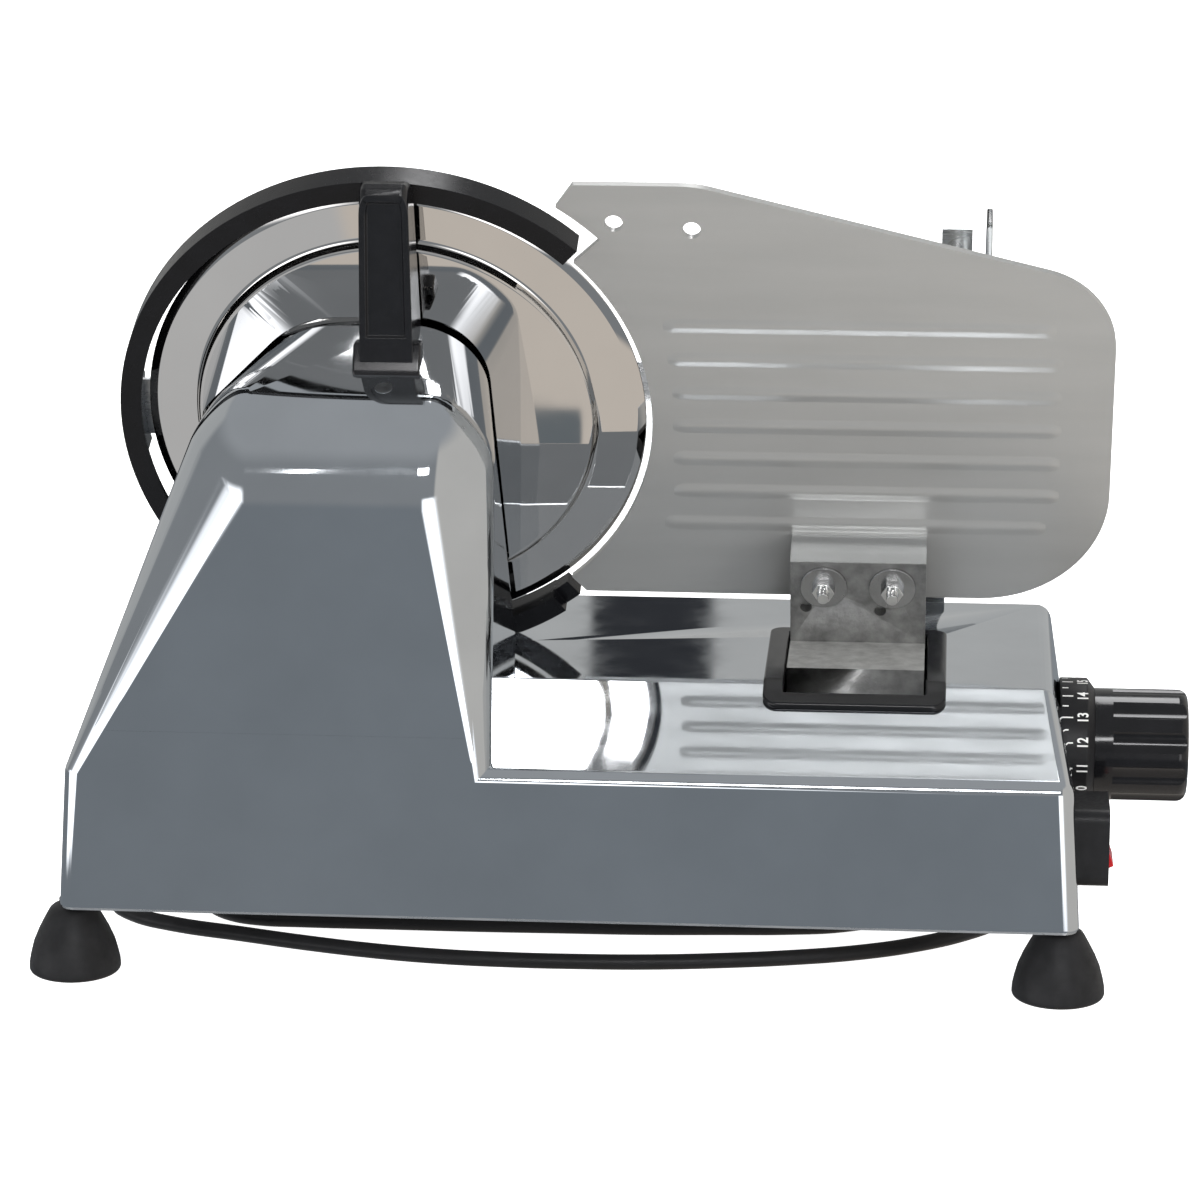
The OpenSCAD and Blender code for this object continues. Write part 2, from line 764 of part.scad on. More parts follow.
module cover_screws() color("silver") on_blade() for (s = [-1, 1]) translate([-guard_screw_r, s * tab_screw_pitch / 2, 0]) {
    rod_z(-1, 6.5, screw_r);
    rod_z(-3.5, -1, screw_head_r);
}

module run_capacitor() color("lightgray") translate([-3, 62, base_z + 16]) {
    rod_x(0, 60, 16);
    for (s = [-1, 1]) translate([0, s * 6, 0]) rod_x(60, 68, 2);
}

module control_box() color("ivory") difference() {
    box([0, -98, base_z], [62, -52, base_z + 28]);
    for (x = [10 : 12 : 52]) box([x, -99, base_z + 22], [x + 6, -51, base_z + 29]);
}

module on_dial() {
    translate([0, dial_y, dial_z]) children();
}

module dial_bush() color("goldenrod") on_dial() difference() {
    rod_x(scale_x - pocket_gap / 2 - dial_bush_l, scale_x - pocket_gap / 2, bush_r);
    rod_x(0, big, dial_spindle_r + run_gap);
}

module dial_knob() color("black") on_dial() difference() {
    translate([knob_x, 0, 0]) rotate([0, 90, 0]) rotate_extrude()
        polygon(concat([[0, 0], [knob_r, 0]], arc([knob_r - knob_round, knob_l - knob_round, knob_round], 0, 90, 6),
            [[0, knob_l]]));
    for (i = [0 : flute_n - 1]) rotate([i * 360 / flute_n, 0, 0]) translate([0, 0, knob_r + flute_r - flute_depth])
        rod_x(knob_x + flute_from, knob_end + 1, flute_r);
    rod_x(knob_x - 1, knob_end - 8, dial_spindle_r);
}

module dial_scale() color("black") on_dial() difference() {
    translate([scale_x, 0, 0]) rotate([0, 90, 0]) rotate_extrude()
        polygon([[0, 0], [scale_r, 0], [scale_r, scale_l - drum_slope], [knob_r, scale_l], [0, scale_l]]);
    rod_x(0, big, dial_spindle_r);
}

module dial_spindle() color("silver") on_dial() rod_x(scroll_x - 3, knob_end - 8, dial_spindle_r);

// Spiral groove that carries the pin out by the gauge's travel over the dial's turn
function scroll(off) = [for (a = [-scroll_lead : 4.5 : dial_turn + scroll_tail])
    let (r = scroll_r0 + scroll_rate * a + off) [r * cos(180 - a), r * sin(180 - a)]];
function reversed(list) = [for (i = [len(list) - 1 : -1 : 0]) list[i]];

module scroll_cam() color("silver") on_dial() difference() {
    rod_x(scroll_x, scroll_x + scroll_t, scroll_r);
    slab_x(scroll_x - 1, scroll_x + groove_d)
        polygon(concat(scroll(pin_r + pin_gap), reversed(scroll(-pin_r - pin_gap))));
    rod_x(scroll_x - 1, scroll_x + scroll_t + 1, dial_spindle_r);
}

module plate_outline() {
    fall = asin(plate_hi[2] / norm([plate_hi[0] - plate_flat, plate_hi[1] - plate_top]))
        - atan2(plate_top - plate_hi[1], plate_hi[0] - plate_flat);
    polygon(concat([[plate_left, plate_low], [plate_left, plate_left], plate_step, [plate_step_x, plate_top],
        [plate_flat, plate_top]],
        arc(plate_hi, 90 + fall, 0, 12), arc(plate_lo, 0, -90, 14)));
}

module gauge_plate() color("silver") on_blade() difference() {
    union() {
        translate([0, 0, plate_z]) linear_extrude(plate_t) plate_outline();
        difference() {
            half = rib_w / 2;
            bulge = (half * half + rib_h * rib_h) / (2 * rib_h);
            for (i = [0 : rib_count - 1])
                translate([0, rib_v - i * rib_pitch, bracket_z + rib_h - bulge]) rod_x(rib_u0, rib_u1, bulge);
            box([-big, -big, -big], [big, big, bracket_z - 0.5]);
        }
    }
    rod_z(-big, big, blade_r + plate_gap);
    difference() {
        rod_z(-big, big, notch_r);
        rotate(notch_a) box([-big, -big, -big], [big, 0, big]);
    }
    rotate(plate_cut_a) box([0, -big, -big], [big, 0, big]);
    for (p = plate_holes) translate(p) rod_z(-big, big, plate_hole_r);
}

module at_bolts() {
    for (s = [-1, 1]) translate([bracket_u + s * bolt_pitch / 2, bolt_v, 0]) children();
}

module gauge_bracket() color("gray") difference() {
    union() {
        on_blade() box([bracket_u - bracket_w / 2, bracket_low, bracket_z],
            [bracket_u + bracket_w / 2, bracket_top, bracket_z + bracket_t]);
        box([bracket_x - bracket_w / 2, arm_y0, arm_low], [bracket_x + bracket_w / 2, arm_y1, foot_top]);
    }
    on_blade() box([-big, -big, -big], [big, big, bracket_z]);
    on_blade() at_bolts() rod_z(0, big, bolt_r);
}

module bracket_bolts() color("silver") on_blade() at_bolts() {
    rod_z(bracket_z, bracket_z + bracket_t + washer_t + nut_h + stud_l, bolt_r);
    translate([0, 0, bracket_z + bracket_t + washer_t]) cylinder(r = nut_r, h = nut_h, $fn = 6);
}

module bracket_washers() color("silver") on_blade() at_bolts() difference() {
    rod_z(bracket_z + bracket_t, bracket_z + bracket_t + washer_t, washer_r);
    rod_z(0, big, bolt_r);
}

module gauge_slide() color("gray") difference() {
    box([bracket_x - slide_w / 2, arm_y0 + 6, slide_top - slide_h],
        [bracket_x + slide_w / 2, arm_y1 - 5, slide_top]);
    at_gauge_rods() rod_y(-big, big, gauge_rod_r + run_gap);
}

module cam_pin() color("silver") translate([0, dial_y - scroll_r0, dial_z])
    rod_x(bracket_x + slide_w / 2, scroll_x + groove_d - slack, pin_r);

module gauge_rods() color("silver") at_gauge_rods() rod_y(-rod_end, rod_end, gauge_rod_r);

module slide_rod() color("silver") translate([0, rod_y, rod_h])
    rod_x(rod_block_x0 - rod_block_w + 2, rod_block_x1 + rod_block_w - 2, slide_rod_r);

module rail_bar(x0, x1, grow) {
    box([x0, rod_y - rail_s / 2 - grow, rail_z - grow], [x1, rod_y + rail_s / 2 + grow, rail_z + rail_s + grow]);
}

module guide_rail() color("gray") rail_bar(rod_block_x0 - rod_block_w + 2, rod_block_x1 + rod_block_w - 2, 0);

module rod_blocks() color("gray") for (x = [rod_block_x0 - rod_block_w, rod_block_x1]) difference() {
    box([x, by - 12, base_z + 2], [x + rod_block_w, rod_y + block_d / 2, rod_h + block_h / 2]);
    deck_form(0);
    translate([0, rod_y, rod_h])
        rod_x(rod_block_x0 - rod_block_w + 2, rod_block_x1 + rod_block_w - 2, slide_rod_r);
    rail_bar(rod_block_x0 - rod_block_w + 2, rod_block_x1 + rod_block_w - 2, 0);
}

module carriage_block() color("gray") difference() {
    box([carriage_x - block_w / 2, rod_y - block_d / 2, rail_z - 2],
        [carriage_x + block_w / 2, rod_y + block_d / 2, rod_h + block_h / 2]);
    translate([0, rod_y, rod_h]) rod_x(-big, big, slide_rod_r + bush_t);
    rail_bar(-big, big, slack);
    box([-big, rod_y - rail_s / 2 - slack, 0], [big, rod_y + rail_s / 2 + slack, rail_z + 1]);
}

module carriage_bushes() color("goldenrod") translate([0, rod_y, rod_h])
    for (x = [carriage_x - block_w / 2, carriage_x + block_w / 2 - bush_l]) difference() {
        rod_x(x, x + bush_l, slide_rod_r + bush_t);
        rod_x(-big, big, slide_rod_r + run_gap);
    }

module carriage_arm() color("silver") difference() {
    box([carriage_x - arm_w / 2, rod_y - arm_t / 2, arm_z], [carriage_x + arm_w / 2, rod_y + arm_t / 2, blade_z]);
    on_blade() box([-big, tray_v - tray_t, -big], [big, big, big]);
    translate([carriage_x, 0, lock_z]) rod_y(0, big, lock_stem_r + run_gap);
}

module lock_knob() color("black") translate([carriage_x, rod_y, lock_z]) {
    rod_y(-arm_t / 2, arm_t / 2 + 2, lock_stem_r);
    difference() {
        rod_y(arm_t / 2 + slack, arm_t / 2 + lock_l, lock_r);
        for (i = [0 : 7]) rotate([0, i * 45, 0]) translate([lock_r + 3, 0, 0])
            rod_y(0, big, 6);
    }
}

module food_tray() color("silver") on_blade() {
    difference() {
        union() {
            box([tray_u0, tray_v - tray_t, tray_z0], [tray_u1, tray_v, -tray_gap]);
            box([tray_u1 - tray_wall_t, tray_v - tray_t, tray_z0], [tray_u1, tray_v + tray_wall_h, -tray_gap - 18]);
            box([tray_u0, tray_v - tray_t, tray_z0], [tray_u1, tray_v + lip_h, tray_z0 + 3]);
            box([pusher_u - post_w / 2, tray_v - tray_t, tray_z0],
                [pusher_u + post_w / 2, tray_v + post_h, tray_z0 + post_t]);
        }
        translate([pusher_u, pusher_v, 0]) rod_z(tray_z0 + 2, tray_z0 + post_t + 1, pusher_rod_r);
    }
}

module hand_guard() color("lightcyan", 0.4) on_blade() slab_x(tray_u1, tray_u1 + guard_sheet_t)
    polygon([[tray_v + 8, tray_z0 + 7], [tray_v + 95, tray_z0 + 7], [tray_v + 131, tray_z0 + 37],
        [tray_v + 131, tray_z0 + 52], [tray_v + 50, -tray_gap - 34], [tray_v + 8, -tray_gap - 34]]);

module carriage_handle() color("black") on_blade() {
    box([handle_u - handle_foot, tray_v - tray_t, handle_z - handle_foot], [handle_u + handle_foot, tray_v + 4, tray_z0]);
    translate([handle_u, tray_v + 4, handle_z]) rotate([-90, 0, 0]) rotate_extrude()
        polygon([[0, 0], [handle_r - 3, 0], [handle_r - 1, 6], [handle_r, handle_h * 0.5],
            [handle_r - 1.5, handle_h - 10], [handle_r - 5, handle_h - 3], [0, handle_h]]);
}

module pusher_rod() color("silver") on_blade() translate([pusher_u, pusher_v, 0]) {
    rod_z(tray_z0 + 2, sleeve_z0 + sleeve_l + slack, pusher_rod_r);
    translate([0, 0, sleeve_z0 + sleeve_l + slack]) rod_z(0, rod_cap, pusher_rod_r + 2);
}

module pusher_sleeve() color("gray") on_blade() translate([pusher_u, pusher_v, sleeve_z0]) difference() {
    union() {
        rod_z(0, sleeve_l, sleeve_r);
        for (z = [0, sleeve_l - sleeve_flange_t]) rod_z(z, z + sleeve_flange_t, sleeve_flange);
    }
    rod_z(-1, sleeve_l + 1, pusher_rod_r + run_gap);
}

module pusher_plate() color("silver") on_blade() {
    u0 = pusher_u - 16 - pusher_w;
    v0 = tray_v + 4;
    difference() {
        union() {
            translate([0, 0, pusher_z - pusher_t / 2]) linear_extrude(pusher_t)
                polygon([[u0, v0], [u0 + pusher_w, v0], [u0 + pusher_w, pusher_v - 38], [pusher_u - 4, pusher_v - 8],
                    [pusher_u - 8, pusher_v + 6], [pusher_u - 28, pusher_v - 16], [u0, v0 + pusher_h]]);
            translate([pusher_u, pusher_v, pusher_z]) rod_z(-knuckle_l / 2, knuckle_l / 2, knuckle_r);
        }
        translate([pusher_u, pusher_v, 0]) rod_z(-big, big, sleeve_r + run_gap);
    }
    for (i = [0 : 5], j = [0, 1])
        translate([u0 + 15 + i * 20, v0 + 14 + j * 26, pusher_z + pusher_t / 2])
            cylinder(r1 = 2, r2 = 0.4, h = spike_l, $fn = 16);
}

module pusher_handle() color("black") on_blade()
    translate([pusher_u - 88, tray_v + 40, pusher_z - pusher_t / 2]) rotate([180, 0, 0]) rotate_extrude()
        polygon([[0, 0], [7, 0], [6, 6], [11, 10], [13, 16], [12, 22], [8, 26], [0, 27]]);

module cord_gland() color("black") difference() {
    translate([gland_x, 0, gland_z]) {
        difference() {
            union() {
                rod_y(by - 14, by + gland_collar_t, gland_r);
                difference() {
                    rod_y(by - 14, by + gland_collar_t, gland_collar_r);
                    translate([-gland_x, 0, -gland_z]) deck_form(0);
                }
                translate([0, by + gland_collar_t, 0]) rotate([-90, 0, 0])
                    cylinder(r1 = gland_r, r2 = cord_r + 1.4, h = gland_boot);
            }
            rod_y(by - 30, gland_end + 1, cord_r);
        }
    }
}

// Cord as one tube swept along its route
function unit(v) = v / norm(v);
function heading(p, i) = unit(p[min(i + 1, len(p) - 1)] - p[max(i - 1, 0)]);
function side(d) = unit(cross(d, abs(d[2]) > 0.9 ? [1, 0, 0] : [0, 0, 1]));
function ring_at(p, i, r) = let (d = heading(p, i), s = i < 7 ? [1, 0, 0] : -side(d), u = cross(d, s))
    [for (k = [0 : cord_sides - 1]) let (a = 360 * k / cord_sides) p[i] + r * (s * cos(a) + u * sin(a))];

module mains_cord() color("black") {
    n = len(cord_route);
    points = concat([for (i = [0 : n - 1]) each ring_at(cord_route, i, cord_r)], [cord_route[0], cord_route[n - 1]]);
    walls = [for (i = [0 : n - 2], k = [0 : cord_sides - 1]) let (a = i * cord_sides + k,
        b = i * cord_sides + (k + 1) % cord_sides) each [[a, a + cord_sides, b], [b, a + cord_sides, b + cord_sides]]];
    ends = [for (k = [0 : cord_sides - 1]) let (m = (k + 1) % cord_sides, e = (n - 1) * cord_sides)
        each [[n * cord_sides, k, m], [n * cord_sides + 1, e + m, e + k]]];
    polyhedron(points, concat(walls, ends), convexity = 10);
}

module at_plug() {
    translate([plug_x0, plug_y, plug_z]) children();
}

module plug_body() color("black") at_plug() difference() {
    union() {
        rotate([0, 90, 0]) cylinder(r1 = cord_r + 1.2, r2 = 8, h = 22);
        translate([20, 0, 0]) rotate([90, 0, 90]) linear_extrude(26) round_plate(28, 2 * plug_z - 0.4, 6);
    }
    for (s = [-1, 1]) box([40, s * 6.35 - 0.75, -3.2], [47, s * 6.35 + 0.75, 3.2]);
}

module plug_pins() color("goldenrod") at_plug()
    for (s = [-1, 1]) box([40, s * 6.35 - 0.75, -3.2], [63, s * 6.35 + 0.75, 3.2]);

at_origin() base_casting();
at_origin() bottom_cover();
at_origin() rubber_feet();
at_origin() foot_screws();
at_origin() ring_guard();
at_origin() guard_end_block();
at_origin() guard_screws();
at_origin() guard_strap();
at_origin() strap_screw();
at_origin() slot_bezel();
at_origin() switch_housing();
at_origin() switch_rocker();
at_origin() motor_stator();
at_origin() motor_bells();
at_origin() motor_cradle();
at_origin() motor_rotor();
at_origin() motor_pulley();
at_origin() drive_belt();
at_origin() spindle_housing();
at_origin() housing_screws();
at_origin() spindle_bearings();
at_origin() blade_spindle();
at_origin() blade_pulley();
at_origin() blade();
at_origin() blade_screws();
at_origin() blade_cover();
at_origin() cover_screws();
at_origin() run_capacitor();
at_origin() control_box();
at_origin() dial_bush();
at_origin() dial_knob();
at_origin() dial_scale();
at_origin() dial_spindle();
at_origin() scroll_cam();
at_origin() gauge_plate();
at_origin() gauge_bracket();
at_origin() bracket_bolts();
at_origin() bracket_washers();
at_origin() gauge_slide();
at_origin() cam_pin();
at_origin() gauge_rods();
at_origin() slide_rod();
at_origin() rod_blocks();
at_origin() guide_rail();
at_origin() carriage_block();
at_origin() carriage_bushes();
at_origin() carriage_arm();
at_origin() lock_knob();
at_origin() food_tray();
at_origin() hand_guard();
at_origin() carriage_handle();
at_origin() pusher_rod();
at_origin() pusher_sleeve();
at_origin() pusher_plate();
at_origin() pusher_handle();
at_origin() cord_gland();
at_origin() mains_cord();
at_origin() plug_body();
at_origin() plug_pins();
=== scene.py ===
"""Looks of the electric food slicer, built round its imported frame.

Sizes are millimetres until a piece is placed.
"""

import json
import math

import bmesh
import bpy
from mathutils import Matrix, Vector


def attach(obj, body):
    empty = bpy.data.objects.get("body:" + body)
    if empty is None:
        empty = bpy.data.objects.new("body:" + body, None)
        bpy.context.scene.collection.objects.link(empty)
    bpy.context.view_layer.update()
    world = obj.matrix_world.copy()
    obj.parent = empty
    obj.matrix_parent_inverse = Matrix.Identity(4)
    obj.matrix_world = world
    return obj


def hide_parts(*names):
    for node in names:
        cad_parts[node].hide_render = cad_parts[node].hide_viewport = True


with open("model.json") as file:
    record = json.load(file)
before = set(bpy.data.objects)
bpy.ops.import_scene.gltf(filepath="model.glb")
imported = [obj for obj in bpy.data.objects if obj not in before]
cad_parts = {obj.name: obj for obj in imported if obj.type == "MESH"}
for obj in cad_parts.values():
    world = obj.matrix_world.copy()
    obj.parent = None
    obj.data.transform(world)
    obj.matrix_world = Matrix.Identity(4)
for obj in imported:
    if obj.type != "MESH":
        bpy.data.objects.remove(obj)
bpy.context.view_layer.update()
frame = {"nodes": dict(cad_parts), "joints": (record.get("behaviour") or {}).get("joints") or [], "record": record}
NODES = frame["nodes"]
JOINTS = {joint["name"]: joint for joint in frame["joints"]}
BODIES = frame["record"]["behaviour"]["bodies"]
BODY_OF = {node: body for body, members in BODIES.items() for node in members}
MM = 0.001

# Places: the source's own axes, and the blade's tilted plane with its middle at the joint
TILT = 20
BLADE_TO_MIDDLE = 0.093
BLADE_AT = Vector(JOINTS["blade_spin"]["pos_m"])
BLADE_TURN = Matrix.Rotation(math.radians(90 + TILT), 4, "X")
HOUSE = Vector((BLADE_AT.x + BLADE_TO_MIDDLE, BLADE_AT.y, 0))
ON_HOUSE = Matrix.Translation(HOUSE) @ Matrix.Scale(MM, 4)
ON_BLADE = Matrix.Translation(BLADE_AT) @ BLADE_TURN @ Matrix.Scale(MM, 4)

# Camera at the photograph's viewing angle
CAMERA_AZIMUTH = 4.547
CAMERA_ELEVATION = 14.724
CAMERA_DISTANCE = 2.2215
CAMERA_LENS = 132.08
CAMERA_SENSOR = 36
CAMERA_REACH = 50
CAMERA_TARGET = Vector((0.00865, 0, 0.17072))


def make_camera():
    azimuth = math.radians(CAMERA_AZIMUTH)
    elevation = math.radians(CAMERA_ELEVATION)
    back = Vector((
        math.sin(azimuth) * math.cos(elevation),
        -math.cos(azimuth) * math.cos(elevation),
        math.sin(elevation),
    ))
    deselect()
    bpy.ops.object.camera_add(location=HOUSE + CAMERA_TARGET + back * CAMERA_DISTANCE)
    camera = bpy.context.active_object
    camera.rotation_mode = "QUATERNION"
    camera.rotation_quaternion = (-back).to_track_quat("-Z", "Y")
    camera.data.lens = CAMERA_LENS
    camera.data.sensor_width = CAMERA_SENSOR
    camera.data.clip_end = CAMERA_REACH
    bpy.context.scene.camera = camera


# Modelling helpers
MERGE_GAP = 1e-4
COPY_MERGE_GAP = 2e-6
COPY_FLAT_ANGLE = 0.4
LARGE_FACE_WEIGHT = 60


def deselect():
    if bpy.context.mode != "OBJECT":
        bpy.ops.object.mode_set(mode="OBJECT")
    bpy.ops.object.select_all(action="DESELECT")


def pick(obj):
    deselect()
    obj.select_set(True)
    bpy.context.view_layer.objects.active = obj
    return obj


def new_piece(name):
    obj = bpy.context.active_object
    obj.name = name
    obj.data.name = name
    return obj


def edit(obj):
    pick(obj)
    bpy.ops.object.mode_set(mode="EDIT")
    bpy.ops.mesh.select_all(action="SELECT")


def done():
    bpy.ops.object.mode_set(mode="OBJECT")


def modify(obj, kind, **settings):
    pick(obj)
    modifier = obj.modifiers.new(kind.title(), kind)
    for key, value in settings.items():
        setattr(modifier, key, value)
    bpy.ops.object.modifier_apply(modifier=modifier.name)
    return obj


def round_edges(obj, width, segments=3, angle=35):
    modify(obj, "BEVEL", width=width, segments=segments, limit_method="ANGLE",
           angle_limit=math.radians(angle), use_clamp_overlap=True, miter_outer="MITER_ARC")
    return obj


def finish_shading(obj, angle=40):
    pick(obj)
    bpy.ops.object.shade_smooth_by_angle(angle=math.radians(angle))
    modify(obj, "WEIGHTED_NORMAL", keep_sharp=True, weight=LARGE_FACE_WEIGHT)
    return obj


def merge(obj):
    edit(obj)
    bpy.ops.mesh.remove_doubles(threshold=MERGE_GAP)
    bpy.ops.mesh.normals_make_consistent(inside=False)
    done()
    return obj


def place(obj, matrix):
    pick(obj)
    obj.matrix_world = matrix @ obj.matrix_world
    bpy.ops.object.transform_apply(location=True, rotation=True, scale=True)
    return obj


def cut(obj, tool):
    modify(obj, "BOOLEAN", object=tool, operation="DIFFERENCE", solver="EXACT")
    bpy.data.objects.remove(tool)
    return obj


def join(name, pieces):
    deselect()
    for piece in pieces:
        piece.select_set(True)
    bpy.context.view_layer.objects.active = pieces[0]
    if len(pieces) > 1:
        bpy.ops.object.join()
    return new_piece(name)


def loop(name, points):
    """A closed outline: a ring of vertices moved to the points."""
    deselect()
    bpy.ops.mesh.primitive_circle_add(vertices=len(points), fill_type="NOTHING")
    obj = new_piece(name)
    for vertex, point in zip(obj.data.vertices, points):
        vertex.co = point
    return obj


def slab(name, outline, run):
    """A flat outline made thick along a straight run."""
    obj = loop(name, outline)
    edit(obj)
    bpy.ops.mesh.edge_face_add()
    bpy.ops.mesh.extrude_region_move(TRANSFORM_OT_translate={"value": run})
    done()
    return merge(obj)


def lathe(name, section, steps):
    """A closed section of radius and height turned round Z."""
    obj = loop(name, [(radius, 0, height) for radius, height in section])
    edit(obj)
    bpy.ops.mesh.spin(steps=steps, angle=math.tau, center=(0, 0, 0), axis=(0, 0, 1))
    done()
    return merge(obj)


def select_only(obj, mode, test):
    """Leave edit mode ready with just the edges or faces that pass the test selected."""
    edit(obj)
    bpy.ops.mesh.select_mode(type=mode)
    bpy.ops.mesh.select_all(action="DESELECT")
    done()
    for item in obj.data.edges if mode == "EDGE" else obj.data.polygons:
        item.select = test(item)
    bpy.ops.object.mode_set(mode="EDIT")


def box(name, low, high):
    deselect()
    middle = [(a + b) / 2 for a, b in zip(low, high)]
    bpy.ops.mesh.primitive_cube_add(size=1, location=middle, scale=[b - a for a, b in zip(low, high)])
    bpy.ops.object.transform_apply(location=True, rotation=True, scale=True)
    return new_piece(name)


def rod(name, radius, low, high, at=(0, 0), vertices=48):
    """A round bar along Z."""
    deselect()
    bpy.ops.mesh.primitive_cylinder_add(vertices=vertices, radius=radius, depth=high - low,
                                        location=(at[0], at[1], (low + high) / 2))
    bpy.ops.object.transform_apply(location=True, rotation=True, scale=True)
    return new_piece(name)


def arc(centre, radius, start, end, count):
    angles = [math.radians(start + (end - start) * i / count) for i in range(count + 1)]
    return [(centre[0] + radius * math.cos(a), centre[1] + radius * math.sin(a)) for a in angles]


def copy_of(node, name):
    """A merged copy of a CAD node, in metres, ready for rounding."""
    deselect()
    obj = bpy.data.objects.new(name, NODES[node].data.copy())
    bpy.context.scene.collection.objects.link(obj)
    edit(obj)
    bpy.ops.mesh.remove_doubles(threshold=COPY_MERGE_GAP)
    bpy.ops.mesh.dissolve_limited(angle_limit=math.radians(COPY_FLAT_ANGLE))
    done()
    return obj


def hand_over(obj, material, *nodes, body=None):
    """The piece stands for its CAD nodes, rides on their body and takes its finish."""
    obj.data.materials.clear()
    obj.data.materials.append(material)
    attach(obj, body or BODY_OF[nodes[0]])
    if nodes:
        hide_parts(*nodes)
    return obj


def rounded_node(node, width_mm, material, segments=2, angle=35):
    """A CAD node with its edges broken, as a machined or moulded piece has them."""
    obj = copy_of(node, node + "_piece")
    round_edges(obj, width_mm * MM, segments, angle)
    finish_shading(obj)
    return hand_over(obj, material, node)


# Materials
MOTTLE_INPUTS = (
    ("Scale", 400.0), ("Stretch X", 1.0), ("Stretch Y", 1.0), ("Stretch Z", 1.0), ("Low", 0.2), ("High", 0.3),
)
MOTTLE_DETAIL = 4
MOTTLE_RANGE = (0.3, 0.7)
TONE_SCALE = 0.35
BUMP_DEPTH = 0.0004


def new_material(name):
    material = bpy.data.materials.new(name)
    material.use_nodes = True
    nodes = material.node_tree.nodes
    return material, nodes, material.node_tree.links, nodes["Principled BSDF"]


def make_mottle_group():
    """Fine mottling on Object coordinates: a grey value and a height."""
    group = bpy.data.node_groups.new("surface_mottle", "ShaderNodeTree")
    for name, default in MOTTLE_INPUTS:
        socket = group.interface.new_socket(name, in_out="INPUT", socket_type="NodeSocketFloat")
        socket.default_value = default
    group.interface.new_socket("Value", in_out="OUTPUT", socket_type="NodeSocketFloat")
    group.interface.new_socket("Height", in_out="OUTPUT", socket_type="NodeSocketFloat")
    nodes, links = group.nodes, group.links
    entry = nodes.new("NodeGroupInput")
    leave = nodes.new("NodeGroupOutput")
    place_at = nodes.new("ShaderNodeTexCoord")
    stretch = nodes.new("ShaderNodeCombineXYZ")
    scaled = nodes.new("ShaderNodeVectorMath")
    scaled.operation = "MULTIPLY"
    noise = nodes.new("ShaderNodeTexNoise")
    noise.inputs["Detail"].default_value = MOTTLE_DETAIL
    ramp = nodes.new("ShaderNodeMapRange")
    ramp.inputs["From Min"].default_value, ramp.inputs["From Max"].default_value = MOTTLE_RANGE
    for axis in "XYZ":
        links.new(entry.outputs["Stretch " + axis], stretch.inputs[axis])
    links.new(place_at.outputs["Object"], scaled.inputs[0])
    links.new(stretch.outputs[0], scaled.inputs[1])
    links.new(scaled.outputs[0], noise.inputs["Vector"])
    links.new(entry.outputs["Scale"], noise.inputs["Scale"])
    links.new(noise.outputs["Fac"], ramp.inputs["Value"])
    links.new(entry.outputs["Low"], ramp.inputs["To Min"])
    links.new(entry.outputs["High"], ramp.inputs["To Max"])
    links.new(ramp.outputs["Result"], leave.inputs["Value"])
    links.new(noise.outputs["Fac"], leave.inputs["Height"])
    return group


MOTTLE = make_mottle_group()


def finish(name, color, metallic, rough, scale=300.0, stretch=(1, 1, 1), tone=0.1, bump=0.0, glint=0.5):
    """A surface whose tone and gloss vary a little, by mottling of one scale and direction."""
    material, nodes, links, shader = new_material(name)
    gloss = nodes.new("ShaderNodeGroup")
    gloss.node_tree = MOTTLE
    shade = nodes.new("ShaderNodeGroup")
    shade.node_tree = MOTTLE
    for node, size, low, high in ((gloss, scale, *rough), (shade, scale * TONE_SCALE, 0.0, 1.0)):
        node.inputs["Scale"].default_value = size
        node.inputs["Low"].default_value = low
        node.inputs["High"].default_value = high
        for axis, value in zip("XYZ", stretch):
            node.inputs["Stretch " + axis].default_value = value
    mix = nodes.new("ShaderNodeMix")
    mix.data_type = "RGBA"
    mix.inputs["A"].default_value = (*[c * (1 - tone) for c in color], 1)
    mix.inputs["B"].default_value = (*[min(1, c * (1 + tone)) for c in color], 1)
    links.new(shade.outputs["Value"], mix.inputs["Factor"])
    links.new(mix.outputs["Result"], shader.inputs["Base Color"])
    links.new(gloss.outputs["Value"], shader.inputs["Roughness"])
    shader.inputs["Metallic"].default_value = metallic
    shader.inputs["Specular IOR Level"].default_value = glint
    if bump:
        relief = nodes.new("ShaderNodeBump")
        relief.inputs["Strength"].default_value = bump
        relief.inputs["Distance"].default_value = BUMP_DEPTH
        links.new(gloss.outputs["Height"], relief.inputs["Height"])
        links.new(relief.outputs["Normal"], shader.inputs["Normal"])
    return material


CASTING = finish("polished_casting", (0.60, 0.63, 0.66), 1.0, (0.03, 0.07), 60, tone=0.04)
BLADE_STEEL = finish("polished_blade", (0.72, 0.70, 0.68), 1.0, (0.015, 0.035), 40, tone=0.03)
PLATE_ALLOY = finish("satin_plate", (0.42, 0.42, 0.41), 0.6, (0.31, 0.38), 160, (0.15, 1, 1),
                     tone=0.04, bump=0.04)
CAST_ALLOY = finish("rough_cast_alloy", (0.30, 0.30, 0.295), 0.85, (0.36, 0.52), 420, tone=0.25, bump=0.6)
# A paler copy of the cast alloy for the bracket's upward faces: painted light from above
PAINTED_LIGHT_ALLOY = finish("painted_light_cast_top", (0.52, 0.52, 0.505), 0.5, (0.34, 0.5), 420, tone=0.2, bump=0.6)
SMOOTH_ALLOY = finish("smooth_block_end", (0.55, 0.56, 0.56), 0.9, (0.16, 0.24), 200, (0.2, 1, 1), tone=0.05)
MILLED_ALLOY = finish("milled_alloy", (0.66, 0.67, 0.68), 1.0, (0.22, 0.34), 260, (0.1, 1, 1),
                      tone=0.06, bump=0.05)
BRIGHT_STEEL = finish("bright_steel", (0.74, 0.74, 0.73), 1.0, (0.08, 0.18), 200, tone=0.05)
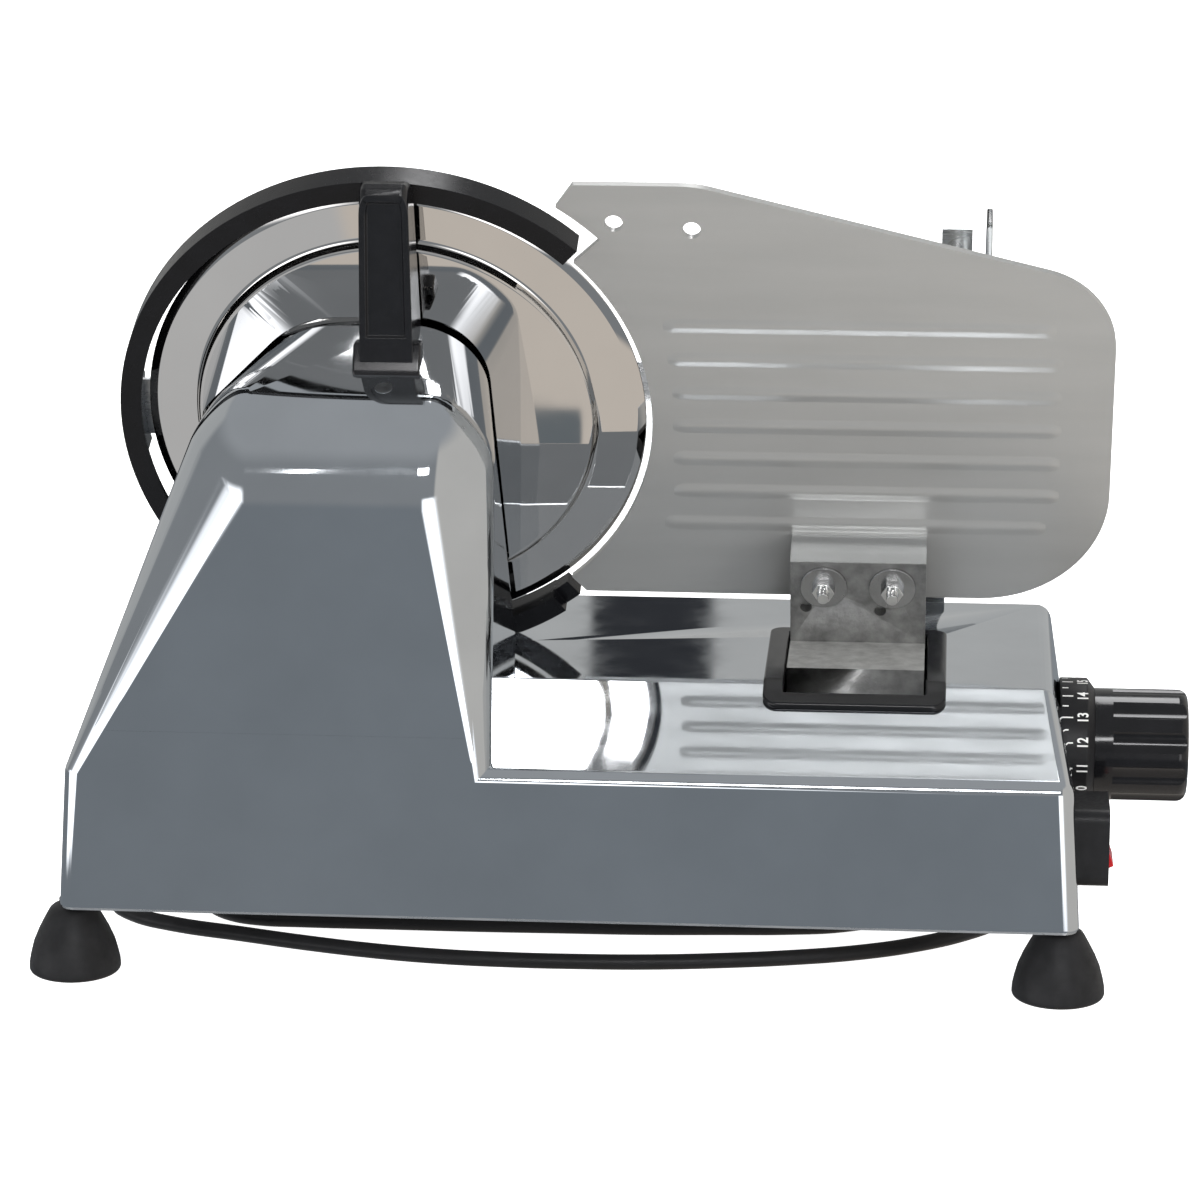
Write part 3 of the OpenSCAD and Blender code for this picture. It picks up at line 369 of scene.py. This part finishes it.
DULL_STEEL = finish("dull_steel", (0.36, 0.37, 0.38), 1.0, (0.3, 0.5), 220, tone=0.12, bump=0.1)
DARK_ZINC = finish("dark_zinc", (0.40, 0.40, 0.40), 1.0, (0.16, 0.28), 220, tone=0.10)
BLACK_GUARD = finish("satin_black_guard", (0.003, 0.003, 0.004), 0.0, (0.20, 0.28), 300, tone=0.2, glint=0.3)
BLACK_STRAP = finish("black_strap", (0.005, 0.005, 0.006), 0.0, (0.14, 0.20), 300, tone=0.2, glint=0.6)
GLOSS_BLACK = finish("gloss_black_plastic", (0.006, 0.006, 0.007), 0.0, (0.10, 0.16), 240,
                     tone=0.15, glint=0.4)
MATT_BLACK = finish("matt_black_plastic", (0.010, 0.010, 0.011), 0.0, (0.36, 0.46), 500,
                    tone=0.2, bump=0.08, glint=0.3)
RUBBER = finish("black_rubber", (0.011, 0.011, 0.012), 0.0, (0.42, 0.55), 350, tone=0.25, bump=0.1, glint=0.3)
CORD_SKIN = finish("cord_rubber", (0.009, 0.009, 0.010), 0.0, (0.36, 0.46), 300,
                   tone=0.2, bump=0.04, glint=0.3)
RED_PLASTIC = finish("red_rocker", (0.46, 0.008, 0.012), 0.0, (0.14, 0.22), 260, tone=0.08)
PALE_PLASTIC = finish("pale_plastic", (0.62, 0.61, 0.56), 0.0, (0.4, 0.5), 300, tone=0.06, bump=0.05)
BRONZE = finish("bronze", (0.62, 0.42, 0.2), 1.0, (0.25, 0.4), 250, tone=0.1)
BELT_RUBBER = finish("belt_rubber", (0.02, 0.02, 0.02), 0.0, (0.5, 0.65), 300, tone=0.2, bump=0.1)
PRINT_WHITE = finish("dial_print", (0.82, 0.82, 0.80), 0.0, (0.4, 0.5), 300, tone=0.03)


def clear_sheet():
    material, _, _, shader = new_material("clear_sheet")
    shader.inputs["Base Color"].default_value = (0.92, 0.96, 0.97, 1)
    shader.inputs["Roughness"].default_value = 0.06
    shader.inputs["IOR"].default_value = 1.49
    shader.inputs["Transmission Weight"].default_value = 1.0
    return material


CLEAR = clear_sheet()


# Cord: out of the gland, down to the table, round under the base and up into the plug
CORD_DIAMETER = 0.0078
CORD_FLOOR = 4.0
GLAND = Vector((-193, 154, 66))
PLUG = Vector((-106, 38, 12))
CORD_DROP = ((0, 0, 66), (0, 12, 66), (0, 28, 62), (0, 39, 51), (0, 43, 35), (0, 39, 19), (0, 28, 8))
CORD_ON_TABLE = (
    (-1, 166), (-3, 140), (-8, 110), (-19, 75), (-35, 45), (-47, 20), (-49, -2), (-37, -20), (-13, -34),
    (23, -46), (57, -57), (91, -66), (125, -72), (160, -74.5), (195, -74.5), (231, -72.5), (267, -67.5),
    (303, -60), (335, -50), (363, -36), (389, -16), (410, 10), (423, 34), (423, 58), (409, 74), (389, 77),
    (370, 66), (361, 46), (357, 24), (346, 5), (326, -8), (299, -14), (265, -17), (225, -20), (185, -21),
    (140, -22), (95, -22), (50, -22), (29, -21), (13, -15), (2, -3), (-1, 12), (5, 27), (18, 36),
)
CORD_TO_PLUG = ((-54, 0.44), (-38, 0.68), (-24, 0.91), (-12, 1), (0, 1))


def cord_points():
    drop = [(GLAND.x + x, GLAND.y + y, z) for x, y, z in CORD_DROP]
    table = [(GLAND.x + x, y, CORD_FLOOR) for x, y in CORD_ON_TABLE]
    rise = [(PLUG.x + x, PLUG.y, PLUG.z * share) for x, share in CORD_TO_PLUG]
    return [Vector(point) * MM + HOUSE for point in drop + table + rise]


def make_cord():
    route = cord_points()
    deselect()
    bpy.ops.curve.primitive_bezier_curve_add(location=(0, 0, 0))
    obj = new_piece("cord_run")
    spline = obj.data.splines[0]
    spline.bezier_points.add(len(route) - 2)
    for knot, point in zip(spline.bezier_points, route):
        knot.handle_left_type = "AUTO"
        knot.handle_right_type = "AUTO"
        knot.co = point
    obj.data.resolution_u = 6
    obj.data.bevel_depth = CORD_DIAMETER / 2
    obj.data.bevel_resolution = 6
    obj.data.use_fill_caps = True
    hand_over(obj, CORD_SKIN, "mains_cord")


# Casting: a wide blend where the tower stands on the deck, soft edges and a fine skin over the tower
BLEND_R = 9
BLEND_OVER = 108
HOLLOW_ANGLE = -25
EDGE_R = 4
SHOULDER_R = 34
CORNER_R = 8
SHOULDERS = ((-70, -78, 256), (-153, -78, 256))
SHOULDER_SKIN = (33.2, 34.4)
LOW_CORNERS = ((-238, -104, 106.2), (-44, -104, 106.2))
NECK_GAP = 12
NECK_RINGS = ((10, 20, 38), (-25, 8, 49), (-55, -25, 50), (-145, -158, CORNER_R), (49, -158, CORNER_R))
SKIN = 0.15
SKIN_FLAT_ANGLE = 0.3
SHOULDER_STEPS = 112
CORNER_STEPS = 40
NECK_STEPS = 96
FACING_BLADE = 0.99
SHOULDER_MORE = 22
NECK_FALL = 25.7


def select_hollow_edges(obj, over):
    """Edges above a height where two faces meet in a hollow."""
    shape = bmesh.new()
    shape.from_mesh(obj.data)
    for items in (shape.faces, shape.edges, shape.verts):
        for item in items:
            item.select = False
    for edge in shape.edges:
        seen = min(vertex.co.z for vertex in edge.verts) > over * MM
        paired = len(edge.link_faces) == 2
        if seen and paired and edge.calc_face_angle_signed() < math.radians(HOLLOW_ANGLE):
            edge.select_set(True)
    shape.to_mesh(obj.data)
    shape.free()


def soften_shoulders(obj, to_house):
    """Draw the tower's shoulders out to a wider curve that still meets the front and the neck's slope."""
    fall = math.radians(NECK_FALL)
    drop = -SHOULDER_MORE * (1 - math.sin(fall)) / math.cos(fall)
    back = to_house.inverted()
    for vertex in obj.data.vertices:
        point = to_house @ vertex.co
        for middle in SHOULDERS:
            out = point - Vector(middle)
            if SHOULDER_SKIN[0] < out.length < SHOULDER_SKIN[1]:
                out.normalize()
                share = 1 - out.x ** 2
                move = Vector((0, SHOULDER_MORE * (1 + out.y), drop + SHOULDER_MORE * out.z)) * share
                vertex.co = back @ (point + move)
                break
    return obj


def ball(center, radius, segments):
    deselect()
    bpy.ops.mesh.primitive_uv_sphere_add(segments=segments, ring_count=segments // 2,
                                         radius=radius, location=center)
    return place(new_piece("ball"), Matrix())


def neck_ring(u, v, radius):
    ring = loop("ring", [(u + x, v + y, NECK_GAP) for x, y in arc((0, 0), radius, 0, 360, NECK_STEPS)])
    return place(ring, ON_HOUSE.inverted() @ ON_BLADE)


def tower_skin():
    """The tower's outside as one fine skin, open where it meets the blade."""
    pieces = [ball(center, SHOULDER_R + SKIN, SHOULDER_STEPS) for center in SHOULDERS]
    pieces += [ball(center, CORNER_R - SKIN, CORNER_STEPS) for center in LOW_CORNERS]
    pieces += [neck_ring(u, v, radius + SKIN) for u, v, radius in NECK_RINGS]
    skin = join("tower_skin", pieces)
    edit(skin)
    bpy.ops.mesh.convex_hull(join_triangles=False)
    bpy.ops.mesh.dissolve_limited(angle_limit=math.radians(SKIN_FLAT_ANGLE))
    done()
    lean = math.radians(TILT)
    toward_blade = Vector((0, math.cos(lean), math.sin(lean)))
    select_only(skin, "FACE", lambda face: face.normal.dot(toward_blade) > FACING_BLADE)
    bpy.ops.mesh.delete(type="FACE")
    done()
    soften_shoulders(skin, Matrix())
    place(skin, ON_HOUSE)
    return finish_shading(skin, 40)


def make_casting():
    obj = soften_shoulders(copy_of("base_casting", "casting"), ON_HOUSE.inverted())
    select_hollow_edges(obj, BLEND_OVER)
    pick(obj)
    bpy.ops.object.mode_set(mode="EDIT")
    bpy.ops.mesh.select_mode(type="EDGE")
    bpy.ops.mesh.bevel(offset=BLEND_R * MM, segments=6, affect="EDGES", clamp_overlap=True)
    done()
    round_edges(obj, EDGE_R * MM, 4, 40)
    finish_shading(obj, 50)
    whole = join("casting", [obj, tower_skin()])
    return hand_over(whole, CASTING, "base_casting")


# Blade: edge bevel, hollow-ground ring, step and dished middle
BLADE_R = 125
SPINDLE_R = 7.5
BLADE_STEPS = 256
BLADE_SECTION = (
    (SPINDLE_R, 5.5), (95.5, 5.5), (99.5, 0.4), (124.6, -0.05), (BLADE_R, 0), (124.6, 0.3), (121, 1.8),
    (120.4, 1.95), (103, 2.9), (101.6, 3.2), (100.6, 3.8), (99.4, 6.6), (98.4, 7.6), (97, 8), (70, 8),
    (SPINDLE_R, 8),
)


def make_blade():
    obj = lathe("blade_disc", BLADE_SECTION, BLADE_STEPS)
    place(obj, ON_BLADE)
    finish_shading(obj, 25)
    return hand_over(obj, BLADE_STEEL, "blade")


# Ring guard: the CAD shape with its edges broken
GUARD_EDGE = 0.9


def make_ring_guard():
    obj = copy_of("ring_guard", "guard_ring")
    round_edges(obj, GUARD_EDGE * MM, 2, 35)
    finish_shading(obj)
    return hand_over(obj, BLACK_GUARD, "ring_guard")


# Gauge plate with pressed ribs
PLATE_LOW = -0.5
PLATE_HIGH = 3.5
RIBS = ((55.0, 134, 327), (35.7, 136, 331), (16.4, 138, 331), (-2.9, 138, 331), (-22.2, 138, 331),
        (-41.5, 138, 331), (-60.8, 133, 325))
RIB_WIDTH = 10.0
RIB_HEIGHT = 0.7
RIB_SINK = 0.02
PLATE_HOLES = ((111.5, 112), (149.3, 108.8))
PLATE_HOLE_R = 4.5
PLATE_EDGE = 0.8
PLATE_TOP_CORNER = (92, 133)
PLATE_FOOT = -104
TOP_SLOPE = 75.5
NOTCH_FROM = 55.3
NOTCH_TO = 44.5
RIM_TO = -48.4
NOTCH_R = 146.5
RIM_R = 128


def plate_outline():
    """Along the top, down the right end, back along the foot and up round the blade."""
    bend = arc((143, 73), 60, 90, TOP_SLOPE, 6)
    high_corner = arc((311, 44), 45, TOP_SLOPE, 0, 14)
    low_corner = arc((292, -40), 64, 0, -90, 18)
    foot = (PLATE_FOOT / math.tan(math.radians(RIM_TO)), PLATE_FOOT)
    rim = arc((0, 0), RIM_R, NOTCH_TO, RIM_TO, 40)
    notch = arc((0, 0), NOTCH_R, NOTCH_FROM, NOTCH_TO, 6)
    return [PLATE_TOP_CORNER, *bend, *high_corner, *low_corner, foot, *reversed(rim), *reversed(notch)]


def make_rib(v, u0, u1):
    """A low pressed rib: a fine grid raised to a soft crest that runs out at both ends."""
    deselect()
    bpy.ops.mesh.primitive_grid_add(x_subdivisions=96, y_subdivisions=16, size=2)
    rib = new_piece("rib")
    half_length, half_width = (u1 - u0) / 2, RIB_WIDTH / 2
    for vertex in rib.data.vertices:
        along = vertex.co.x * half_length
        across = vertex.co.y * half_width
        past = max(0, abs(along) - half_length + half_width)
        off = min(1, math.hypot(past, across) / half_width)
        crest = RIB_HEIGHT * 0.5 * (1 + math.cos(math.pi * off))
        vertex.co = ((u0 + u1) / 2 + along, v + across, PLATE_HIGH - RIB_SINK + crest)
    return rib


def make_gauge_plate():
    outline = [(x, y, PLATE_LOW) for x, y in plate_outline()]
    plate = slab("gauge_sheet", outline, (0, 0, PLATE_HIGH - PLATE_LOW))
    for at in PLATE_HOLES:
        cut(plate, rod("hole", PLATE_HOLE_R, -20, 20, at))
    round_edges(plate, PLATE_EDGE, 3, 40)
    ribs = [make_rib(*rib) for rib in RIBS]
    obj = join("gauge_sheet", [plate, *ribs])
    place(obj, ON_BLADE)
    finish_shading(obj, 45)
    return hand_over(obj, PLATE_ALLOY, "gauge_plate")


# Strap from the guard to the neck: round crown, tapered sides, a sunk front and a flared foot
STRAP_X = -90
STRAP_HALF = 13
STRAP_SIDE = (
    (-30.8, 312.5), (-30.8, 315.4), (-58.7, 392.2), (-66.0, 392.2), (-69.0, 390.2), (-70.2, 387.0),
    (-66.2, 313.6), (-66.2, 296.5),
)
STRAP_EDGE = 1.3
STRAP_TOP = 392
CROWN_LOW = 386.5
CROWN_R = 4
BEAD_WIDTH = 3.2
SINK_WIDTH = 1.0
SINK_DEPTH = 1.4
STRAP_TAPER = 0.09
STRAP_RUN = 80
TAPER_FROM = -56
TAPER_DEPTH = 10
FLARE_HALF = 16.5
FLARE_SIDE = ((-52.2, 303), (-52.2, 313.6), (-62.2, 313.6), (-67.7, 301.6), (-67.7, 295.8))
FLARE_EDGE = 1.2


def side_slab(name, outline, half):
    """An outline in Y and Z, made thick along X to both sides of the strap's middle."""
    return slab(name, [(STRAP_X - half, y, z) for y, z in outline], (2 * half, 0, 0))


def make_strap_bar():
    obj = side_slab("strap", STRAP_SIDE, STRAP_HALF)
    corners = obj.data.vertices

    def on_crown(edge):
        one, other = (corners[index].co for index in edge.vertices)
        return abs(one.x - other.x) < 1 and min(one.z, other.z) > CROWN_LOW

    select_only(obj, "EDGE", on_crown)
    bpy.ops.mesh.bevel(offset=CROWN_R, segments=5, affect="EDGES")
    done()
    front = max(obj.data.polygons, key=lambda face: -face.normal.y * face.area).index
    select_only(obj, "FACE", lambda face: face.index == front)
    bpy.ops.mesh.inset(thickness=BEAD_WIDTH, depth=0)
    bpy.ops.mesh.inset(thickness=SINK_WIDTH, depth=-SINK_DEPTH)
    done()
    for vertex in obj.data.vertices:
        rise = max(0, 1 - (STRAP_TOP - vertex.co.z) / STRAP_RUN)
        ahead = min(1, max(0, (TAPER_FROM - vertex.co.y) / TAPER_DEPTH))
        vertex.co.x = STRAP_X + (vertex.co.x - STRAP_X) * (1 - STRAP_TAPER * rise * ahead)
    return round_edges(obj, STRAP_EDGE, 4, 25)


def make_strap():
    bar = make_strap_bar()
    flare = side_slab("flare", FLARE_SIDE, FLARE_HALF)
    round_edges(flare, FLARE_EDGE, 3, 25)
    obj = join("strap", [bar, flare])
    place(obj, ON_HOUSE)
    finish_shading(obj)
    return hand_over(obj, BLACK_STRAP, "guard_strap")


# Gauge bracket: a thick cast block with a smooth end, its upward faces painted paler as painted light from above,
# and two spare holes half under its washers
SPARE_HOLES = ((205.4, -94.1), (242.7, -95.6))
SPARE_HOLE_R = 3.0
SPARE_HOLE_RUN = (22.5, 33.5)
BRACKET_EDGE = 0.7
LEAST_FACE = 2e-4
FACING = 0.95


def make_bracket():
    obj = copy_of("gauge_bracket", "bracket_block")
    for at in SPARE_HOLES:
        cut(obj, place(rod("spare_hole", SPARE_HOLE_R, *SPARE_HOLE_RUN, at, 32), ON_BLADE))
    round_edges(obj, BRACKET_EDGE * MM, 2, 35)
    finish_shading(obj)
    hand_over(obj, CAST_ALLOY, "gauge_bracket")
    obj.data.materials.append(SMOOTH_ALLOY)
    obj.data.materials.append(PAINTED_LIGHT_ALLOY)
    up = (ON_BLADE.to_3x3() @ Vector((0, 1, 0))).normalized()
    # Faces towards the block's end take the smooth finish; faces looking straight up take the paler copy, painted
    # light from above
    for face in obj.data.polygons:
        if face.normal.dot(up) > FACING and face.area > LEAST_FACE:
            face.material_index = 1
        elif face.normal.z > FACING and face.area > LEAST_FACE:
            face.material_index = 2


# Dial: fluted knob and scale drum with its printed numbers
DIAL_MARKS = 16
MARK_STEP = 22.5
FIRST_MARK = 73.5
DRUM_R = 33.0
DRUM_AXIS = (-8, 103.5)
NUMBER_BASE = 254.0
NUMBER_SIZE = 7.4
NUMBER_NARROW = 0.78
NUMBER_THICK = 0.04
NUMBER_BOLD = 0.16
NUMBER_LIFT = 0.03
TICK_START = 241.4
TICK_LONG = 5.3
TICK_SHORT = 3.0
TICK_HALF = 0.35
TICK_LOW = -0.03
TICK_HIGH = 0.06


def on_drum(along, around, lift):
    angle = math.radians(around)
    radius = DRUM_R + lift
    return (along, DRUM_AXIS[0] + radius * math.cos(angle), DRUM_AXIS[1] + radius * math.sin(angle))


def make_number(mark):
    deselect()
    bpy.ops.object.text_add()
    obj = bpy.context.active_object
    obj.data.body = str(mark)
    obj.data.size = NUMBER_SIZE
    obj.data.align_x = "CENTER"
    obj.data.extrude = NUMBER_THICK
    obj.data.offset = NUMBER_BOLD
    bpy.ops.object.convert(target="MESH")
    around = FIRST_MARK + (DIAL_MARKS - mark) * MARK_STEP
    for vertex in obj.data.vertices:
        across, up, lift = vertex.co
        turned = math.degrees(across * NUMBER_NARROW / DRUM_R)
        vertex.co = on_drum(NUMBER_BASE - up, around - turned, lift + NUMBER_LIFT)
    return obj


def make_tick(step):
    length = TICK_LONG if step % 2 == 0 else TICK_SHORT
    around = FIRST_MARK + step * MARK_STEP / 2
    obj = box("tick", (0, -TICK_HALF, TICK_LOW), (length, TICK_HALF, TICK_HIGH))
    for vertex in obj.data.vertices:
        along, across, lift = vertex.co
        vertex.co = on_drum(TICK_START + along, around - math.degrees(across / DRUM_R), lift)
    return obj


def make_dial():
    rounded_node("dial_knob", 1.2, GLOSS_BLACK, 3, 30)
    rounded_node("dial_scale", 0.6, MATT_BLACK, 2)
    numbers = [make_number(mark) for mark in range(DIAL_MARKS)]
    ticks = [make_tick(step) for step in range(2 * DIAL_MARKS)]
    obj = join("dial_print", numbers + ticks)
    place(obj, ON_HOUSE)
    hand_over(obj, PRINT_WHITE, body="dial")


# Feet: bell-shaped rubber with a recess for the screw's head
FOOT_X = (-246, 241)
FOOT_Y = (-94, 94)
FOOT_STEPS = 64
FOOT_TOP = 37.5
FOOT_SECTION = (
    (7, 0), (20.2, 0), *arc((20.3, 2.4), 2.4, -90, 8, 6),
    (22.5, 5.6), (21.6, 10), (20.1, 15.6), (17.6, 21.6), (14.8, 27), (12.6, 31),
    (11.6, 32.6), (10.2, 33.8), (8, 34.6), (7, 35), (7, FOOT_TOP),
    (2.1, FOOT_TOP), (2.1, 16), (7, 16),
)


def make_feet():
    feet = []
    for x in FOOT_X:
        for y in FOOT_Y:
            foot = lathe("foot", FOOT_SECTION, FOOT_STEPS)
            feet.append(place(foot, Matrix.Translation((x, y, 0))))
    obj = join("feet", feet)
    place(obj, ON_HOUSE)
    finish_shading(obj, 40)
    return hand_over(obj, RUBBER, "rubber_feet")


# Pieces whose CAD shape is right: their edges are broken and they get their finish
def make_rounded_pieces():
    for node, width, material in (
        ("slot_bezel", 0.9, GLOSS_BLACK),
        ("switch_rocker", 0.6, RED_PLASTIC),
        ("guard_end_block", 1.0, BLACK_GUARD),
        ("bracket_bolts", 0.5, BRIGHT_STEEL),
        ("bracket_washers", 0.3, DARK_ZINC),
        ("food_tray", 0.8, MILLED_ALLOY),
        ("hand_guard", 0.6, CLEAR),
        ("carriage_arm", 1.2, MILLED_ALLOY),
        ("carriage_block", 1.0, CAST_ALLOY),
        ("rod_blocks", 1.2, CAST_ALLOY),
        ("lock_knob", 1.0, GLOSS_BLACK),
        ("pusher_plate", 0.8, MILLED_ALLOY),
        ("pusher_sleeve", 0.4, MILLED_ALLOY),
        ("pusher_rod", 0.6, BRIGHT_STEEL),
        ("blade_cover", 0.5, MILLED_ALLOY),
        ("guide_rail", 0.5, BRIGHT_STEEL),
        ("plug_body", 1.2, CORD_SKIN),
        ("plug_pins", 0.25, BRONZE),
        ("cord_gland", 0.6, CORD_SKIN),
    ):
        rounded_node(node, width, material)
    rounded_node("switch_housing", 3.0, MATT_BLACK, 4)
    for node in ("carriage_handle", "pusher_handle"):
        obj = copy_of(node, node + "_piece")
        finish_shading(obj, 55)
        hand_over(obj, GLOSS_BLACK, node)


# CAD nodes kept as they are, with a finish of their own
def finish_kept_nodes():
    kept = {
        "bottom_cover": MILLED_ALLOY, "foot_screws": BRIGHT_STEEL, "guard_screws": BRIGHT_STEEL,
        "strap_screw": DULL_STEEL, "motor_stator": DULL_STEEL, "motor_bells": MILLED_ALLOY,
        "motor_cradle": DULL_STEEL, "motor_rotor": DULL_STEEL, "motor_pulley": MILLED_ALLOY,
        "drive_belt": BELT_RUBBER, "spindle_housing": CAST_ALLOY, "housing_screws": BRIGHT_STEEL,
        "spindle_bearings": BRIGHT_STEEL, "blade_spindle": BRIGHT_STEEL, "blade_pulley": MILLED_ALLOY,
        "blade_screws": BRIGHT_STEEL, "cover_screws": BRIGHT_STEEL, "run_capacitor": PALE_PLASTIC,
        "control_box": PALE_PLASTIC, "dial_bush": BRONZE, "dial_spindle": BRIGHT_STEEL,
        "scroll_cam": MILLED_ALLOY, "gauge_slide": CAST_ALLOY, "cam_pin": BRIGHT_STEEL,
        "gauge_rods": BRIGHT_STEEL, "slide_rod": BRIGHT_STEEL, "carriage_bushes": BRONZE,
    }
    for node, material in kept.items():
        NODES[node].data.materials.clear()
        NODES[node].data.materials.append(material)


# Floor and light
def make_floor():
    """Pale floor, white to the camera; polished pieces mirror the room instead of it."""
    deselect()
    bpy.ops.mesh.primitive_plane_add(size=14, location=(0, 0, 0))
    floor = new_piece("floor")
    floor.visible_glossy = False
    material, nodes, links, shader = new_material("pale_floor")
    path = nodes.new("ShaderNodeLightPath")
    shader.inputs["Base Color"].default_value = (0.9, 0.9, 0.9, 1)
    shader.inputs["Emission Color"].default_value = (1, 1, 1, 1)
    links.new(path.outputs["Is Camera Ray"], shader.inputs["Emission Strength"])
    shader.inputs["Roughness"].default_value = 0.9
    shader.inputs["Specular IOR Level"].default_value = 0
    floor.data.materials.append(material)


def area_light(name, location, target, size, energy):
    deselect()
    bpy.ops.object.light_add(type="AREA", location=HOUSE + Vector(location))
    light = bpy.context.active_object
    light.name = name
    light.data.shape = "RECTANGLE"
    light.data.size, light.data.size_y = size
    light.data.energy = energy
    direction = Vector(target) - Vector(location)
    light.rotation_mode = "QUATERNION"
    light.rotation_quaternion = direction.to_track_quat("-Z", "Y")
    return light


def window(tree, value, rise, fall):
    """One between two soft edges of a value, and nought outside them."""
    product = tree.nodes.new("ShaderNodeMath")
    product.operation = "MULTIPLY"
    for socket, (low, high) in zip(product.inputs, (rise, fall)):
        edge = tree.nodes.new("ShaderNodeMapRange")
        edge.interpolation_type = "SMOOTHSTEP"
        edge.inputs["From Min"].default_value = low
        edge.inputs["From Max"].default_value = high
        tree.links.new(value, edge.inputs["Value"])
        tree.links.new(edge.outputs["Result"], socket)
    return product.outputs[0]


def times(tree, *values):
    result = values[0]
    for value in values[1:]:
        product = tree.nodes.new("ShaderNodeMath")
        product.operation = "MULTIPLY"
        tree.links.new(result, product.inputs[0])
        tree.links.new(value, product.inputs[1])
        result = product.outputs[0]
    return result


def blend_in(tree, under, color, mask):
    mix = tree.nodes.new("ShaderNodeMix")
    mix.data_type = "RGBA"
    mix.inputs["B"].default_value = (*color, 1)
    tree.links.new(under, mix.inputs["A"])
    tree.links.new(mask, mix.inputs["Factor"])
    return mix.outputs["Result"]


# What polished surfaces mirror of the room: each part's colour, and where it lies across, behind and up
NO_LOW = (-2.1, -2.0)
NO_HIGH = (2.1, 2.0)
BEHIND = ((0.1, 0.3), NO_HIGH)
AHEAD = (NO_LOW, (0.0, -0.1))
AHEAD_AND_BESIDE = (NO_LOW, (0.1, -0.4))
ON_TABLE = (NO_LOW, (-0.5, -0.55))
ROOM = (0.30, 0.31, 0.32)
CEILING = (0.42, 0.43, 0.44)
WALL_BEHIND = (0.52, 0.52, 0.51)
FAR_FLOOR = (0.235, 0.255, 0.275)
TABLE_TOP = (0.65, 0.605, 0.555)
TABLE_LEFT = (0.55, 0.56, 0.57)
TABLE_SHADE = (0.15, 0.175, 0.195)
SIDE_WALL = (0.66, 0.63, 0.59)
WHITE_PAPER = (2.6, 2.6, 2.65)
WINDOW_LIGHT = (8.0, 8.0, 8.1)
LAMP_LIGHT = (16.0, 16.0, 16.2)
DARK_DOOR = (0.035, 0.037, 0.042)
ROOM_PARTS = (
    (CEILING, None, None, ((0.45, 0.75), NO_HIGH)),
    (WALL_BEHIND, None, BEHIND, ((-0.1, 0.0), (0.72, 0.6))),
    (FAR_FLOOR, None, None, (NO_LOW, (-0.06, -0.24))),
    (TABLE_TOP, None, None, ON_TABLE),
    (TABLE_LEFT, (NO_LOW, (-0.15, -0.165)), None, ON_TABLE),
    (TABLE_SHADE, ((-0.15, -0.14), (-0.056, -0.060)), None, (NO_LOW, (-0.787, -0.788))),
    (SIDE_WALL, ((0.50, 0.58), NO_HIGH), None, ((-0.35, -0.25), (0.8, 0.6))),
    (WHITE_PAPER, (NO_LOW, (-0.16, -0.40)), AHEAD_AND_BESIDE, ((-0.19, -0.11), (0.16, 0.0))),
    (WHITE_PAPER, ((0.03, 0.2), (0.66, 0.4)), AHEAD, ((-0.28, -0.22), (0.0, -0.07))),
    (WINDOW_LIGHT, ((-0.095, -0.092), (0.14, 0.12)), BEHIND, ((0.74, 0.78), (0.97, 0.94))),
    (LAMP_LIGHT, ((-0.098, -0.095), (0.34, 0.26)), AHEAD, ((0.37, 0.39), (0.49, 0.47))),
    (DARK_DOOR, ((-0.0795, -0.0775), (-0.050, -0.052)), BEHIND, None),
)
SOFT_FILL = (0.75, 0.75, 0.75)
WHITE = (1, 1, 1)
SOFT_BOXES = (
    ("left_box", (-1.5, -0.5, 0.55), (0.5, 0.9), 14),
    ("right_box", (1.3, -0.8, 0.5), (0.45, 0.9), 12),
)
SOFT_BOX_TARGET = (0, 0, 0.25)


def make_room(tree):
    place_at = tree.nodes.new("ShaderNodeTexCoord")
    split = tree.nodes.new("ShaderNodeSeparateXYZ")
    tree.links.new(place_at.outputs["Generated"], split.inputs[0])
    room = tree.nodes.new("ShaderNodeRGB")
    room.outputs[0].default_value = (*ROOM, 1)
    color = room.outputs[0]
    for part, *bands in ROOM_PARTS:
        masks = [window(tree, value, *band) for value, band in zip(split.outputs, bands) if band]
        color = blend_in(tree, color, part, times(tree, *masks))
    return color


def make_light():
    world = bpy.data.worlds.new("studio")
    bpy.context.scene.world = world
    world.use_nodes = True
    tree = world.node_tree
    background = tree.nodes["Background"]
    path = tree.nodes.new("ShaderNodeLightPath")
    color = blend_in(tree, make_room(tree), SOFT_FILL, path.outputs["Is Diffuse Ray"])
    color = blend_in(tree, color, WHITE, path.outputs["Is Camera Ray"])
    tree.links.new(color, background.inputs["Color"])
    background.inputs["Strength"].default_value = 1.0
    for name, location, size, energy in SOFT_BOXES:
        soft_box = area_light(name, location, SOFT_BOX_TARGET, size, energy)
        soft_box.visible_glossy = False
    area_light("lamp", (-0.445, -2.1, 1.15), (-0.1, 0, 0.28), (0.016, 0.16), 0.075)
    bpy.context.scene.view_settings.view_transform = "Standard"


make_camera()
make_casting()
make_blade()
make_ring_guard()
make_gauge_plate()
make_strap()
make_bracket()
make_dial()
make_feet()
make_rounded_pieces()
make_cord()
finish_kept_nodes()
make_floor()
make_light()
